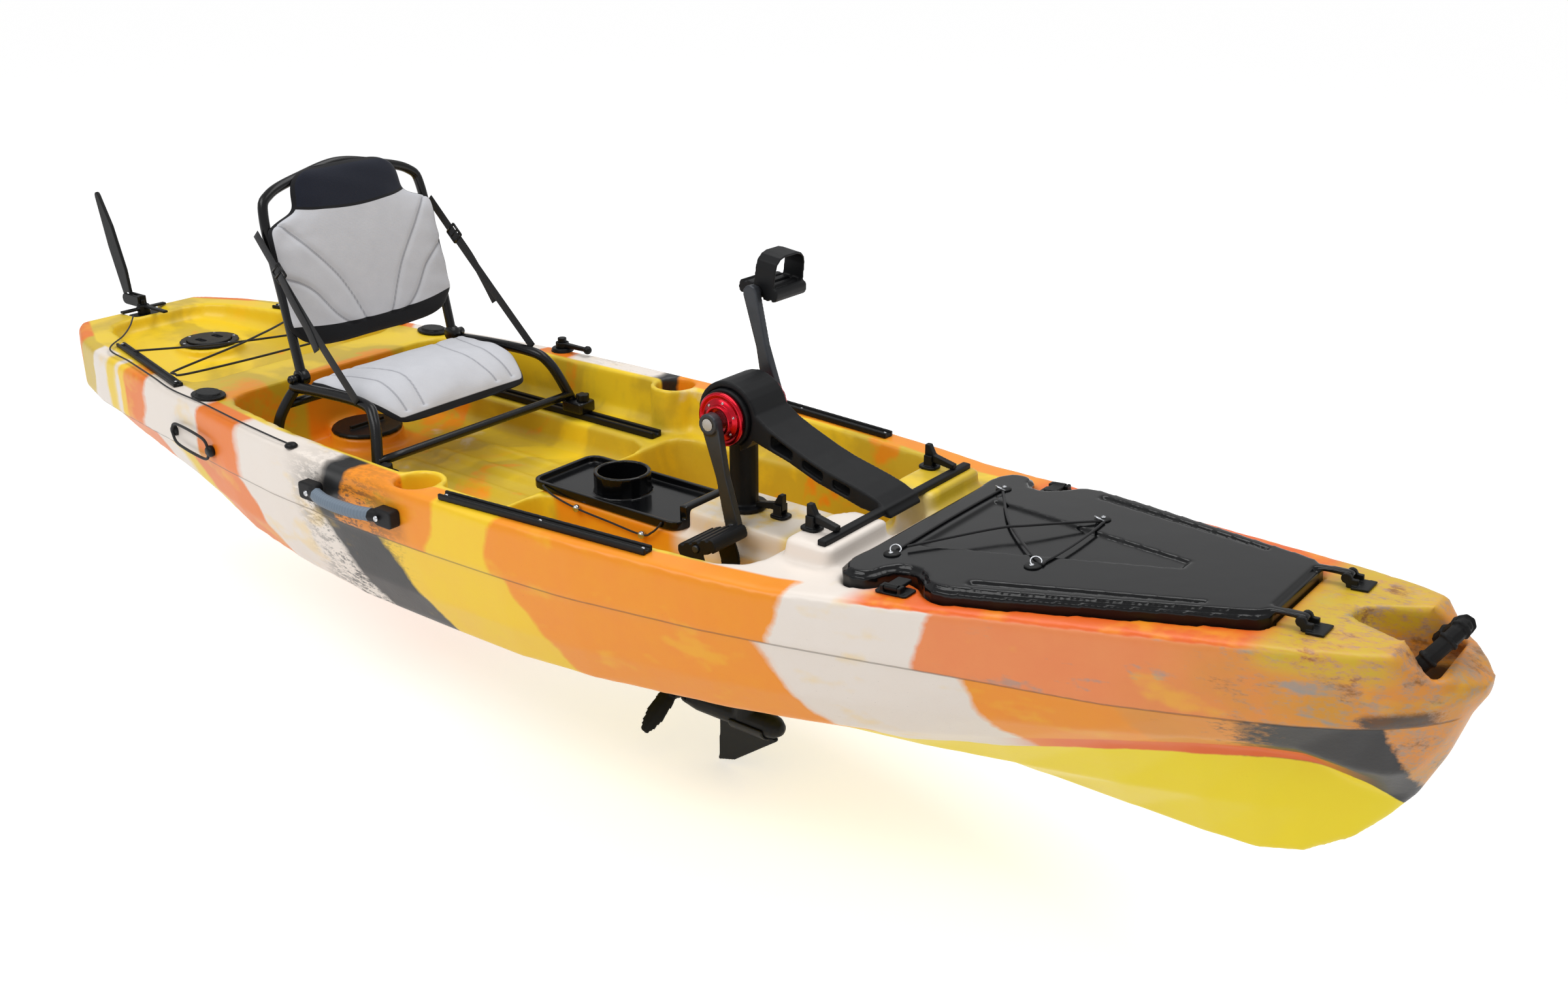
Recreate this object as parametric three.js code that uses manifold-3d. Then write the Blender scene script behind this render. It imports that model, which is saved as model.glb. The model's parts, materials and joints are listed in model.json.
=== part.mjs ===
// Pedal kayak: a sit-on-top hull with a drop-in pedal drive, a framed seat and a lifting rudder.
// Millimetres. X runs to the bow, Y to port, Z up. The origin is on the keel's flat, amidships.
import * as THREE from 'three';
import { mergeVertices } from 'three/addons/utils/BufferGeometryUtils.js';
import Module from 'manifold-3d';

const wasm = await Module();
wasm.setup();

// Shared clearances and construction values
const gap = 0.3;
const overrun = 20;
const weld = 0.001;
const hair = 0.4;
const sides = [['starboard', -1], ['port', 1]];

// Hull: overall sizes, wall and edge
const sternX = -1575;
const bowX = 1600;
const hullLength = bowX - sternX;
const halfBeam = 407;
const depth = 350;
const wall = 6;
const keelFlat = 26;
const seamStep = 4;
const deckEdge = 12;
const foreX = 620;
const foreRise = 72;
const foreRun = 880;
const innerBowX = 1445;
const noseX = 1500;
const noseDrop = 60;

// Hull form, hand-faired: share of the length from the stern, then share of half beam or depth
const stationShares = [0, 0.0094, 0.035, 0.075, 0.118, 0.165, 0.212, 0.27, 0.33, 0.395, 0.465, 0.53, 0.58,
  0.66, 0.705, 0.75, 0.8, 0.85, 0.89, 0.915, 0.935, 0.956, 0.9695, 0.979, 0.988, 0.9945, 1];
const beamShares = [[0, 0.38], [0.0094, 0.44], [0.055, 0.61], [0.118, 0.715], [0.187, 0.8], [0.239, 0.86],
  [0.312, 0.95], [0.388, 0.992], [0.465, 1], [0.53, 0.985], [0.625, 0.93], [0.685, 0.86], [0.7386, 0.775],
  [0.78, 0.7], [0.83, 0.607], [0.887, 0.5], [0.937, 0.4], [0.96, 0.335], [0.972, 0.285], [0.983, 0.22],
  [0.992, 0.15], [0.9965, 0.1], [1, 0.045]];
const keelShares = [[0, 0.54], [0.055, 0.37], [0.118, 0.22], [0.21, 0.085], [0.3, 0.02], [0.37, 0], [0.905, 0],
  [0.919, 0.026], [0.934, 0.071], [0.948, 0.146], [0.961, 0.269], [0.9735, 0.414], [0.9846, 0.6], [0.99, 0.75],
  [0.9934, 0.87], [1, 1]];
const chineShares = [[0, 0.62], [0.055, 0.57], [0.1, 0.5], [0.2, 0.366], [0.287, 0.25], [0.4, 0.215],
  [0.53, 0.215], [0.62, 0.25], [0.7, 0.3], [0.766, 0.37], [0.805, 0.43], [0.868, 0.54], [0.909, 0.61],
  [0.931, 0.61], [0.944, 0.57], [0.956, 0.5], [0.97, 0.47], [1, 0.47]];
const chineBeamShares = [[0, 0.26], [0.055, 0.42], [0.118, 0.54], [0.2, 0.66], [0.3, 0.8], [0.4, 0.87],
  [0.5, 0.875], [0.6, 0.82], [0.69, 0.7], [0.77, 0.56], [0.805, 0.475], [0.868, 0.36], [0.909, 0.26],
  [0.931, 0.185], [0.944, 0.14], [0.956, 0.1], [0.97, 0.06], [1, 0.025]];
const seamShares = [[0, 0.655], [0.1, 0.66], [0.39, 0.69], [0.57, 0.7], [0.69, 0.745], [0.786, 0.777],
  [0.86, 0.79], [0.94, 0.863], [0.976, 0.92], [1, 1.03]];
const bottomShares = [[0, 0.5], [0.3, 0.34], [0.6, 0.3], [0.8, 0.4], [1, 0.5]];
const noseShares = [[0.9685, 0], [0.976, 0.5], [0.983, 0.66], [0.992, 0.8], [1, 1.15]];

// Wells cut into the deck
const fillet = 14;
const wellDraft = 10;
const cornerRound = 55;
const stationStep = 260;
const tank = { from: -1500, to: -945, halfFront: 285, frontX: -950, taper: 94, taperRun: 369,
  dropAft: 32, dropFront: 88 };
const cockpit = { from: -815, to: 562, rim: 58, halfMax: 345, drop: 95 };
const seatWell = { from: -815, to: -108, half: 240, drop: 155 };
const footwell = { from: -100, to: 540, inner: 84, outer: 312, floor: 105, round: 40 };
const channel = { from: 500, to: 676, half: 67, flareFrom: 535, flareTo: 612, flareHalf: 170 };
const platform = { from: 252, to: 590, half: 74, drop: 50 };
const ledge = { from: 584, to: 676, inner: 60, outer: 228, rise: 37, root: 60, draft: 9, bevel: 6, corner: 16 };
const ribs = { count: 4, from: -560, to: -170, pitch: 84, half: 12, height: 8 };
const cupHole = { x: -143, y: 350, radius: 42, depth: 78, wall: 11 };
const notch = { from: 1410, to: 1546, halfAft: 24, halfFront: 84, sinkAft: 19, sinkFront: 58, low: 1513 };
const saddle = { length: 62, half: 46, drop: 15 };

// Deck plates
const plate = { x: -1292, radius: 67, lidRadius: 50, thick: 6, neck: 12, neckWall: 5, bossRadius: 74, boss: 19,
  lidThick: 9, recessX: 34, recessY: 14, recessDepth: 5, recessOff: 22, step: 4 };
const seatHatch = { x: -732, radius: 76, neck: 60, neckDepth: 14, collarRadius: 79, drop: 128, thick: 8,
  gripLength: 90, gripWidth: 10, gripHeight: 8 };

// Front hatch on the foredeck, measured along the foredeck's slope from its foot
const hatch = { aft: 84, front: 712, half: 260, recess: 14, proud: 22, skin: 5, rim: 24, ribWidth: 16, ribHeight: 7,
  panelDepth: 5, mouthInset: 34, seat: 3 };
const hatchEdgeShares = [[0, 0.58], [-0.006, 0.79], [0.003, 0.9], [0.025, 0.97], [0.06, 1], [0.094, 0.985],
  [0.112, 0.935], [0.121, 0.86], [0.14, 0.805], [0.167, 0.785], [0.196, 0.8], [0.22, 0.846], [0.245, 0.915],
  [0.275, 0.955], [0.312, 0.957], [0.445, 0.868], [0.94, 0.48], [0.98, 0.442], [1, 0.38]];
const hatchMouthShares = [[0, 0.785], [0.167, 0.785], [0.31, 0.91], [0.445, 0.85], [0.94, 0.47], [1, 0.4]];
const hatchPanelShares = [[0.105, 0.45], [0.73, 0.06]];
const hatchTrenchShares = [[0.34, 0.935], [0.86, 0.545]];
const hinge = { y: 88, reach: 41, z: 14, pin: 4, width: 30, leaf: 62, barrel: 8, footLength: 34, footHeight: 4,
  footWidth: 40, ear: 7 };
const hatchLatch = { x: 195, y: 250, length: 58, width: 34, foot: 3.5, leverLength: 36, leverWidth: 24, post: 14,
  leverThick: 6, pin: 3 };
const hatchEye = { aftX: 136, aftY: 156, frontX: 350, frontY: 99 };

// Deck fittings
const track = { aftX: -40, aftY: 382, frontX: 403, frontY: 343, width: 24, height: 11, slot: 12, slotDepth: 6 };
const tankTrack = { aftX: -1319, aftY: 207, frontX: -950, frontY: 301, width: 20, height: 8, slot: 8,
  slotDepth: 4 };
const rodHolder = { x: -846, y: 300, radius: 22, bore: 19, length: 170, flangeLong: 42, flangeWide: 31,
  flange: 6, lean: 0.42, capThick: 5, wallGap: 0.4 };
const rail = { y: 268, aft: -712, front: -125, width: 30, height: 14, slot: 12, slotDepth: 8 };
const tray = { from: -135, to: 240, half: 88, height: 17, rim: 9, floor: 4, round: 26, cupX: 27, cupRadius: 55,
  cupBore: 47, cupHeight: 46, cupFloor: 5, backX: 224, backHalf: 62, backHeight: 42 };
const sideHandle = { aft: -378, front: -142, z: 297, capLength: 46, capDepth: 22, capHeight: 34, grip: 13,
  bulge: 15 };
const bowHandle = { setback: 34, lift: 28, radius: 12, reach: 40, rise: 56, ribs: 6, ribRadius: 15, ribWidth: 5,
  gripHalf: 46 };
const plug = { y: -96, z: 292, radius: 12, head: 9, stem: 7, stemLength: 16, slot: 4 };
const steering = { x: -500, y: 376, radius: 26, height: 8, post: 10, postHeight: 22, boss: 15, bossHeight: 12,
  arm: 78, armWidth: 14, armHeight: 9, knob: 10, bore: 10.4 };
const rudder = { yawX: -1556, liftX: -1612, liftRise: 36, plateHalf: 30, plateHeight: 6, pin: 5,
  pinHeight: 34, bossRadius: 15, bossHeight: 12, arm: 58, armWidth: 14, tillerReach: 96, tillerWidth: 12,
  forkGap: 4.4, forkWall: 7, forkHeight: 26, liftPin: 4, bladeLength: 262, bladeWidth: 46, bladeTip: 18,
  bladeRoot: 30, bladeThick: 8, bladeAngle: 1.873 };

// Held cords
const cord = { tank: 5, console: 4, hatch: 4, line: 4, loop: 6, facets: 6, bead: 7 };
const paddleLoop = { aft: -931, front: -763, drop: 24, z: 268, plug: 12, plugDepth: 9, standOff: 10 };
const padEye = { x: -461, y: 383, radius: 12, height: 8 };

// Seat
const seat = { tube: 11, bar: 9, rearX: -664, rearY: 222, sideRise: 38, frontX: -452, frontRise: 46, bendX: -398,
  bendRise: 22, footX: -364, footDrop: 60, footY: 264, clampFrom: -380, clampTo: -320, clampWidth: 48,
  clampHeight: 24, rearFootX: -674, rearClampLength: 44, barX: -366, barDrop: 46, key: 11.4, keyDepth: 7.4,
  hingeHalf: 8 };
const knob = { x: -336, radius: 15, height: 15, lobes: 5, lobe: 6, stem: 4, stemHeight: 8, bore: 14 };
const pan = { aft: -642, front: -400, half: 210.5, frontHalf: 168, thick: 15, crown: 10, droop: 50, droopRun: 110,
  rise: 54, seam: 4, seamHalf: 11, roll: 20 };
const back = { hingeX: -662, hingeRise: 52, half: 200, lean: 0.2, tube: 10, hoopHeight: 404, hoopRound: 84,
  earRadius: 17, earThick: 20, pin: 5, thick: 15, crown: 11, seam: 4, seamHalf: 12, stand: 0.4, roll: 16 };
const backShares = [[0.109, 0.6], [0.124, 0.72], [0.15, 0.85], [0.188, 0.92], [0.238, 0.985], [0.3, 1], [0.733, 0.99],
  [0.757, 0.95], [0.777, 0.84], [0.797, 0.72], [0.822, 0.665], [0.866, 0.645], [0.94, 0.62], [0.985, 0.55],
  [1.005, 0.45], [1.015, 0.34]];
const panelHalf = 218;
const strap = { width: 22, thick: 2.4, topX: -727, topRise: 340, footX: -446, footRise: 52, buckle: 30,
  buckleWidth: 32, buckleThick: 8, buckleShare: 0.24 };

// Pedal drive
const drive = { x: 324, rise: 132, boreRadius: 31, headRadius: 52, headHalf: 54, headCavity: 43, legRadius: 26,
  legBore: 20, flangeRadius: 42, flangeHeight: 9, gearcaseZ: -130, gearcaseRadius: 24, gearcaseBore: 18,
  noseX: 414, tailX: 172, tailRadius: 17, noseRound: 34, tailRound: 40, web: 10, topWeb: 72, lowWebZ: -92, shaftWebX: 276 };
const crank = { length: 191, angle: 1.31, inner: 80, thick: 15, bossRadius: 19, endRadius: 15, waist: 11,
  spindle: 7, spindleEnd: 196, collar: 11, collarEnd: 103, axle: 11, bossDepth: 19 };
const hub = { radius: 48, thick: 11, step: 27, stepHeight: 8, spigot: 42.6, spigotDepth: 7, bevel: 2 };
const pedal = { inner: 104, width: 88, length: 86, thick: 26, round: 9, grooves: 4, grooveWidth: 7, grooveDepth: 4,
  strapHeight: 56, strapThick: 4, strapWidth: 44, strapRound: 26, bore: 7.4, portTilt: 0.12, starboardTilt: 2.792 };
const arm = { half: 46, skin: 6, web: 8, inner: 52.4, outer: 64, barX: 652, barHalf: 217, barWidth: 16, barHeight: 12,
  barSink: 4, pane: 8 };
const armTopShares = [[0.09, 1.52], [0.13, 1.33], [0.17, 1.18], [0.25, 0.98], [0.33, 0.84], [0.5, 0.59], [0.6, 0.47],
  [0.8, 0.29], [0.88, 0.2], [0.94, 0.09], [0.975, -0.05]];
const armUnderShares = [[0.2, 0.61], [0.378, 0.43], [0.55, 0.19], [0.72, 0.03], [0.81, -0.06], [0.975, -0.1]];
const armWindowShares = [[0.27, 0.4], [0.46, 0.58], [0.64, 0.74]];
const gears = { crankWheel: 38, crankPinion: 12, pinionFace: 8, wheelFace: 9, toe: 0.72, backlash: 0.6, shaft: 7,
  lowWheel: 15, propPinion: 10, lowFace: 7, propShaft: 6, bearing: 0.4 };
const prop = { x: 140, hub: 16, hubLength: 40, blade: 106, rootChord: 36, midChord: 46, tipChord: 20, thick: 6,
  tipThick: 2, rootPitch: 0.95, tipPitch: 0.38, angle: 0.569, steps: 5, facets: 8, nose: 9 };
const skeg = { thick: 9, aftTop: 262, aftLow: 257, tip: 296, low: -246, tipLow: -234, front: 398, saddleFrom: 300,
  saddleTo: 398, saddleWall: 5, frontLow: -158 };
const driveLatch = { x: 612, y: 173, plateLength: 54, plateWidth: 32, plate: 5, tower: 16, towerHeight: 20,
  towerWidth: 22, slot: 12.6, pin: 3.5, lever: 50, leverWidth: 12, leverThick: 9, handle: 26, wellX: 397 };

// Levels that follow the depth
const driveZ = depth + drive.rise;
const platformTop = depth - platform.drop;
const ledgeFloor = depth - cockpit.drop;
const seatWellFloor = depth - seatWell.drop;
const seatHatchTop = depth - seatHatch.drop;
const ledgeTop = depth + ledge.rise;
const saddleFloor = depth - saddle.drop;
const liftZ = saddleFloor + rudder.liftRise;
const hingeX = hatch.front + hinge.reach;
const handleX = notch.to - bowHandle.setback;
const backHingeZ = depth + back.hingeRise;
const sideZ = depth + seat.sideRise;

// Colours
function finish(colour, roughness, metalness) {
  return new THREE.MeshStandardMaterial({ color: colour, roughness, metalness });
}
const hullPlastic = finish(0xf0901c, 0.45, 0);
const blackPlastic = finish(0x17181a, 0.42, 0);
const glossBlack = finish(0x101114, 0.22, 0);
const blackRubber = finish(0x1b1b1c, 0.8, 0);
const darkGrey = finish(0x3a3c40, 0.4, 0.3);
const redAnodised = finish(0xa01420, 0.3, 0.8);
const greyFoam = finish(0x7b8590, 0.75, 0);
const steel = finish(0x9a9ca0, 0.3, 0.9);
const greyCloth = finish(0xc9c9cc, 0.85, 0);
const tubeBlack = finish(0x1a1a1c, 0.25, 0.4);

// Arithmetic
function mix(a, b, share) {
  return a + (b - a) * share;
}

// Smooth curve through a table of [place, value] pairs, level at its peaks
function curveAt(table, place) {
  const last = table.length - 1;
  if (place <= table[0][0]) return table[0][1];
  if (place >= table[last][0]) return table[last][1];
  let i = 0;
  while (place > table[i + 1][0]) i += 1;
  const slope = (k) => (table[k + 1][1] - table[k][1]) / (table[k + 1][0] - table[k][0]);
  const tangent = (k) => {
    if (k === 0 || k === last) return k === 0 ? slope(0) : slope(last - 1);
    const before = slope(k - 1);
    const after = slope(k);
    return before * after <= 0 ? 0 : (2 * before * after) / (before + after);
  };
  const run = table[i + 1][0] - table[i][0];
  const t = (place - table[i][0]) / run;
  const rise = table[i + 1][1] - table[i][1];
  const a = run * tangent(i);
  const b = run * tangent(i + 1);
  return table[i][1] + t * (a + t * (3 * rise - 2 * a - b + t * (a + b - 2 * rise)));
}

// Solids: three.js geometry into a solid for joining and cutting, and back
function solid(geometry) {
  const bare = geometry.index ? geometry.toNonIndexed() : geometry.clone();
  bare.deleteAttribute('normal');
  bare.deleteAttribute('uv');
  const merged = mergeVertices(bare, weld);
  const corners = [];
  const index = merged.index.array;
  for (let i = 0; i < index.length; i += 3) {
    const [a, b, c] = [index[i], index[i + 1], index[i + 2]];
    if (a !== b && b !== c && c !== a) corners.push(a, b, c);
  }
  return new wasm.Manifold(new wasm.Mesh({
    numProp: 3,
    vertProperties: new Float32Array(merged.attributes.position.array),
    triVerts: new Uint32Array(corners),
  }));
}

function join(...pieces) {
  return pieces.reduce((whole, piece) => whole.add(piece));
}

function cut(body, ...tools) {
  return tools.reduce((whole, tool) => whole.subtract(tool), body);
}

function geometryOf(body) {
  const mesh = body.getMesh();
  const geometry = new THREE.BufferGeometry();
  geometry.setAttribute('position', new THREE.BufferAttribute(new Float32Array(mesh.vertProperties), mesh.numProp));
  geometry.setIndex(Array.from(mesh.triVerts));
  geometry.computeVertexNormals();
  return geometry;
}

// The largest connected skin of a body: pockets sealed inside the wall are left solid
function outerSkin(body) {
  const mesh = body.getMesh();
  const count = mesh.vertProperties.length / mesh.numProp;
  const parent = Array.from({ length: count }, (_, i) => i);
  const root = (i) => {
    let k = i;
    while (parent[k] !== k) {
      parent[k] = parent[parent[k]];
      k = parent[k];
    }
    return k;
  };
  const tri = mesh.triVerts;
  for (let i = 0; i < tri.length; i += 3) {
    parent[root(tri[i])] = root(tri[i + 1]);
    parent[root(tri[i + 1])] = root(tri[i + 2]);
  }
  const tally = new Map();
  for (let i = 0; i < tri.length; i += 3) tally.set(root(tri[i]), (tally.get(root(tri[i])) || 0) + 1);
  const main = [...tally.entries()].sort((a, b) => b[1] - a[1])[0][0];
  const kept = [];
  for (let i = 0; i < tri.length; i += 3) {
    if (root(tri[i]) === main) kept.push(tri[i], tri[i + 1], tri[i + 2]);
  }
  const geometry = new THREE.BufferGeometry();
  geometry.setAttribute('position', new THREE.BufferAttribute(new Float32Array(mesh.vertProperties), mesh.numProp));
  geometry.setIndex(kept);
  return solid(geometry);
}

// A closed body through a row of rings with equal counts; flat names the two axes that a ring's cap lies in
function loft(rings, flat = ['y', 'z']) {
  const count = rings[0].length;
  const positions = rings.flat().flatMap((p) => [p.x, p.y, p.z]);
  const faces = [];
  for (let i = 0; i + 1 < rings.length; i += 1) {
    for (let j = 0; j < count; j += 1) {
      const a = i * count + j;
      const b = i * count + ((j + 1) % count);
      faces.push([a, a + count, b], [b, a + count, b + count]);
    }
  }
  const flatten = (ring) => ring.map((p) => new THREE.Vector2(p[flat[0]], p[flat[1]]));
  const windingOf = (ring) => Math.sign(THREE.ShapeUtils.area(flatten(ring)));
  const end = (rings.length - 1) * count;
  const wound = (ring, face) => (windingOf(ring) > 0 ? face : [face[0], face[2], face[1]]);
  for (const face of THREE.ShapeUtils.triangulateShape(flatten(rings[0]), [])) {
    const [a, b, c] = wound(rings[0], face);
    faces.push([a, b, c]);
  }
  const lastRing = rings[rings.length - 1];
  for (const face of THREE.ShapeUtils.triangulateShape(flatten(lastRing), [])) {
    const [a, b, c] = wound(lastRing, face);
    faces.push([end + c, end + b, end + a]);
  }
  return solid(facing(positions, faces));
}

// Turns each face to agree with its neighbours, then the whole outwards
function facing(positions, faces) {
  const edges = new Map();
  const keyOf = (a, b) => (a < b ? `${a}_${b}` : `${b}_${a}`);
  faces.forEach((face, f) => {
    for (let k = 0; k < 3; k += 1) {
      const key = keyOf(face[k], face[(k + 1) % 3]);
      if (!edges.has(key)) edges.set(key, []);
      edges.get(key).push(f);
    }
  });
  const seen = new Array(faces.length).fill(false);
  const queue = [0];
  seen[0] = true;
  while (queue.length) {
    const f = queue.pop();
    for (let k = 0; k < 3; k += 1) {
      const a = faces[f][k];
      const b = faces[f][(k + 1) % 3];
      for (const g of edges.get(keyOf(a, b))) {
        if (seen[g]) continue;
        const at = faces[g].indexOf(a);
        if (faces[g][(at + 1) % 3] === b) faces[g].reverse();
        seen[g] = true;
        queue.push(g);
      }
    }
  }
  let volume = 0;
  const corner = (i) => new THREE.Vector3().fromArray(positions, 3 * i);
  for (const [a, b, c] of faces) volume += corner(a).dot(corner(b).cross(corner(c)));
  if (volume < 0) faces.forEach((face) => face.reverse());
  const geometry = new THREE.BufferGeometry();
  geometry.setAttribute('position', new THREE.BufferAttribute(new Float32Array(positions), 3));
  geometry.setIndex(faces.flat());
  return geometry;
}

// Plain bodies
function block(x0, x1, y0, y1, z0, z1) {
  const geometry = new THREE.BoxGeometry(x1 - x0, y1 - y0, z1 - z0);
  geometry.translate((x0 + x1) / 2, (y0 + y1) / 2, (z0 + z1) / 2);
  return solid(geometry);
}

function cylinder(radius, x, y, z0, z1, facets = 20) {
  const geometry = new THREE.CylinderGeometry(radius, radius, z1 - z0, facets);
  geometry.rotateX(Math.PI / 2);
  geometry.translate(x, y, (z0 + z1) / 2);
  return solid(geometry);
}

// A round bar between two points
function bar(from, to, radius, facets = 12) {
  const start = new THREE.Vector3(...from);
  const end = new THREE.Vector3(...to);
  const length = start.distanceTo(end);
  const geometry = new THREE.CylinderGeometry(radius, radius, length, facets);
  const turn = new THREE.Quaternion().setFromUnitVectors(
    new THREE.Vector3(0, 1, 0),
    end.clone().sub(start).normalize(),
  );
  geometry.applyQuaternion(turn);
  geometry.translate(...start.add(end).multiplyScalar(1 / 2).toArray());
  return solid(geometry);
}

// A turned body: profile points [radius, along], about the axis through a centre
function turned(profile, centre, axis, facets = 20) {
  const points = profile.map(([radius, along]) => new THREE.Vector2(radius, along));
  const geometry = new THREE.LatheGeometry([...points, points[0]], facets);
  const turn = new THREE.Quaternion().setFromUnitVectors(new THREE.Vector3(0, 1, 0), new THREE.Vector3(...axis));
  geometry.applyQuaternion(turn);
  geometry.translate(...centre);
  const body = solid(geometry);
  return body.volume() < 0 ? solid(flipped(geometry)) : body;
}

function flipped(geometry) {
  const copy = geometry.toNonIndexed();
  const p = copy.attributes.position;
  for (let i = 0; i < p.count; i += 3) {
    const b = new THREE.Vector3().fromBufferAttribute(p, i + 1);
    const c = new THREE.Vector3().fromBufferAttribute(p, i + 2);
    p.setXYZ(i + 1, c.x, c.y, c.z);
    p.setXYZ(i + 2, b.x, b.y, b.z);
  }
  return copy;
}

// A tube along a smooth path
function tube(path, radius, steps, facets = 8) {
  const route = new THREE.CatmullRomCurve3(path.map((p) => new THREE.Vector3(...p)), false, 'centripetal');
  return extrudeAlong(route, ringShape(radius, facets), steps);
}

function ringShape(radius, facets) {
  const points = [];
  for (let i = 0; i < facets; i += 1) {
    const turn = (2 * Math.PI * i) / facets;
    points.push(new THREE.Vector2(radius * Math.cos(turn), radius * Math.sin(turn)));
  }
  return new THREE.Shape(points);
}

function extrudeAlong(route, shape, steps) {
  return solid(new THREE.ExtrudeGeometry(shape, { extrudePath: route, steps, bevelEnabled: false }));
}

// A plate with an outline in X and Y, between two heights
function deckPlate(outline, z0, z1) {
  const shape = new THREE.Shape(outline.map(([x, y]) => new THREE.Vector2(x, y)));
  const geometry = new THREE.ExtrudeGeometry(shape, { depth: z1 - z0, bevelEnabled: false });
  geometry.translate(0, 0, z0);
  return solid(geometry);
}

// A plate with an outline in X and Z, between two values of Y
function sidePlate(outline, y0, y1) {
  const shape = new THREE.Shape(outline.map(([x, z]) => new THREE.Vector2(x, z)));
  const geometry = new THREE.ExtrudeGeometry(shape, { depth: y1 - y0, bevelEnabled: false });
  geometry.rotateX(Math.PI / 2);
  geometry.translate(0, y1, 0);
  return solid(geometry);
}

// A plate with an outline in Y and Z, between two values of X
function crossPlate(outline, x0, x1) {
  const ring = (x) => outline.map(([y, z]) => new THREE.Vector3(x, y, z));
  return loft([ring(x0), ring(x1)]);
}

// Corner points of an arc about a centre, in the plane of an outline
function arc(cx, cy, radius, from, to, steps) {
  const points = [];
  for (let i = 0; i <= steps; i += 1) {
    const turn = mix(from, to, i / steps);
    points.push([cx + radius * Math.cos(turn), cy + radius * Math.sin(turn)]);
  }
  return points;
}

function roundedRectangle(x0, x1, y0, y1, radius, steps = 4) {
  const quarter = Math.PI / 2;
  return [
    ...arc(x1 - radius, y1 - radius, radius, 0, quarter, steps),
    ...arc(x0 + radius, y1 - radius, radius, quarter, 2 * quarter, steps),
    ...arc(x0 + radius, y0 + radius, radius, 2 * quarter, 3 * quarter, steps),
    ...arc(x1 - radius, y0 + radius, radius, 3 * quarter, 4 * quarter, steps),
  ];
}

// Hull form at a station
function deckAt(x) {
  const ramp = x > foreX ? (foreRise * (x - foreX)) / foreRun : 0;
  const share = (x - sternX) / hullLength;
  return depth + ramp - noseDrop * curveAt(noseShares, share);
}

function beamAt(x) {
  return halfBeam * curveAt(beamShares, (x - sternX) / hullLength);
}

function formAt(x) {
  const share = Math.min(Math.max((x - sternX) / hullLength, 0), 1);
  return {
    keel: depth * curveAt(keelShares, share),
    chine: depth * curveAt(chineShares, share),
    chineHalf: halfBeam * curveAt(chineBeamShares, share),
    seam: depth * curveAt(seamShares, share),
    half: beamAt(x),
    deck: deckAt(x),
    bottom: curveAt(bottomShares, share),
  };
}

// Half of a section from the keel round to the middle of the deck, moved in by the inset
function halfSection(x, inset) {
  const near = [formAt(x), formAt(x - inset), formAt(x + inset)];
  const most = (name) => Math.max(...near.map((form) => form[name]));
  const least = (name) => Math.min(...near.map((form) => form[name]));
  const keel = most('keel') + inset;
  const chine = Math.max(most('chine') + inset, keel + 2 * hair);
  const half = Math.max(least('half') - inset, 9 * hair);
  const lowHalf = Math.max(half - seamStep, 6 * hair);
  const chineHalf = Math.min(Math.max(least('chineHalf') - inset, 4 * hair), lowHalf - hair);
  const keelHalf = Math.min(keelFlat, chineHalf / 2);
  const seam = Math.max(near[0].seam, chine + 2 * hair);
  const deck = Math.max(least('deck') - inset, seam + seamStep + 5 * hair);
  const edge = Math.min(deckEdge, half / 2, (deck - seam - seamStep) / 2);
  const bottom = near[0].bottom;
  const edgeShare = 0.3;
  const bilgeOutShare = 0.6;
  const bilgeUpShare = 0.4;
  return [
    [0, keel],
    [keelHalf, keel],
    [mix(keelHalf, chineHalf, 1 / 2), mix(keel, chine, bottom)],
    [chineHalf, chine],
    [mix(chineHalf, lowHalf, bilgeOutShare), mix(chine, seam, bilgeUpShare)],
    [lowHalf, seam],
    [half, seam + seamStep],
    [half, deck - edge],
    [half - edge * edgeShare, deck - edge * edgeShare],
    [half - edge, deck],
    [0, deck],
  ];
}

function sectionRing(x, inset) {
  const right = halfSection(x, inset);
  const left = right.slice(1, -1).reverse();
  return [
    ...right.map(([y, z]) => new THREE.Vector3(x, y, z)),
    ...left.map(([y, z]) => new THREE.Vector3(x, -y, z)),
  ];
}

function hullBody(inset) {
  const stations = stationShares.map((share) => sternX + share * hullLength);
  stations.push(foreX, noseX);
  const first = sternX + inset;
  const last = inset > 0 ? innerBowX : bowX;
  const inside = stations.filter((x) => x > first + overrun / 4 && x < last - overrun / 4 && inset > 0);
  const places = inset > 0 ? [first, ...inside, last] : stations;
  places.sort((a, b) => a - b);
  return loft(places.map((x) => sectionRing(x, inset)));
}

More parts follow.
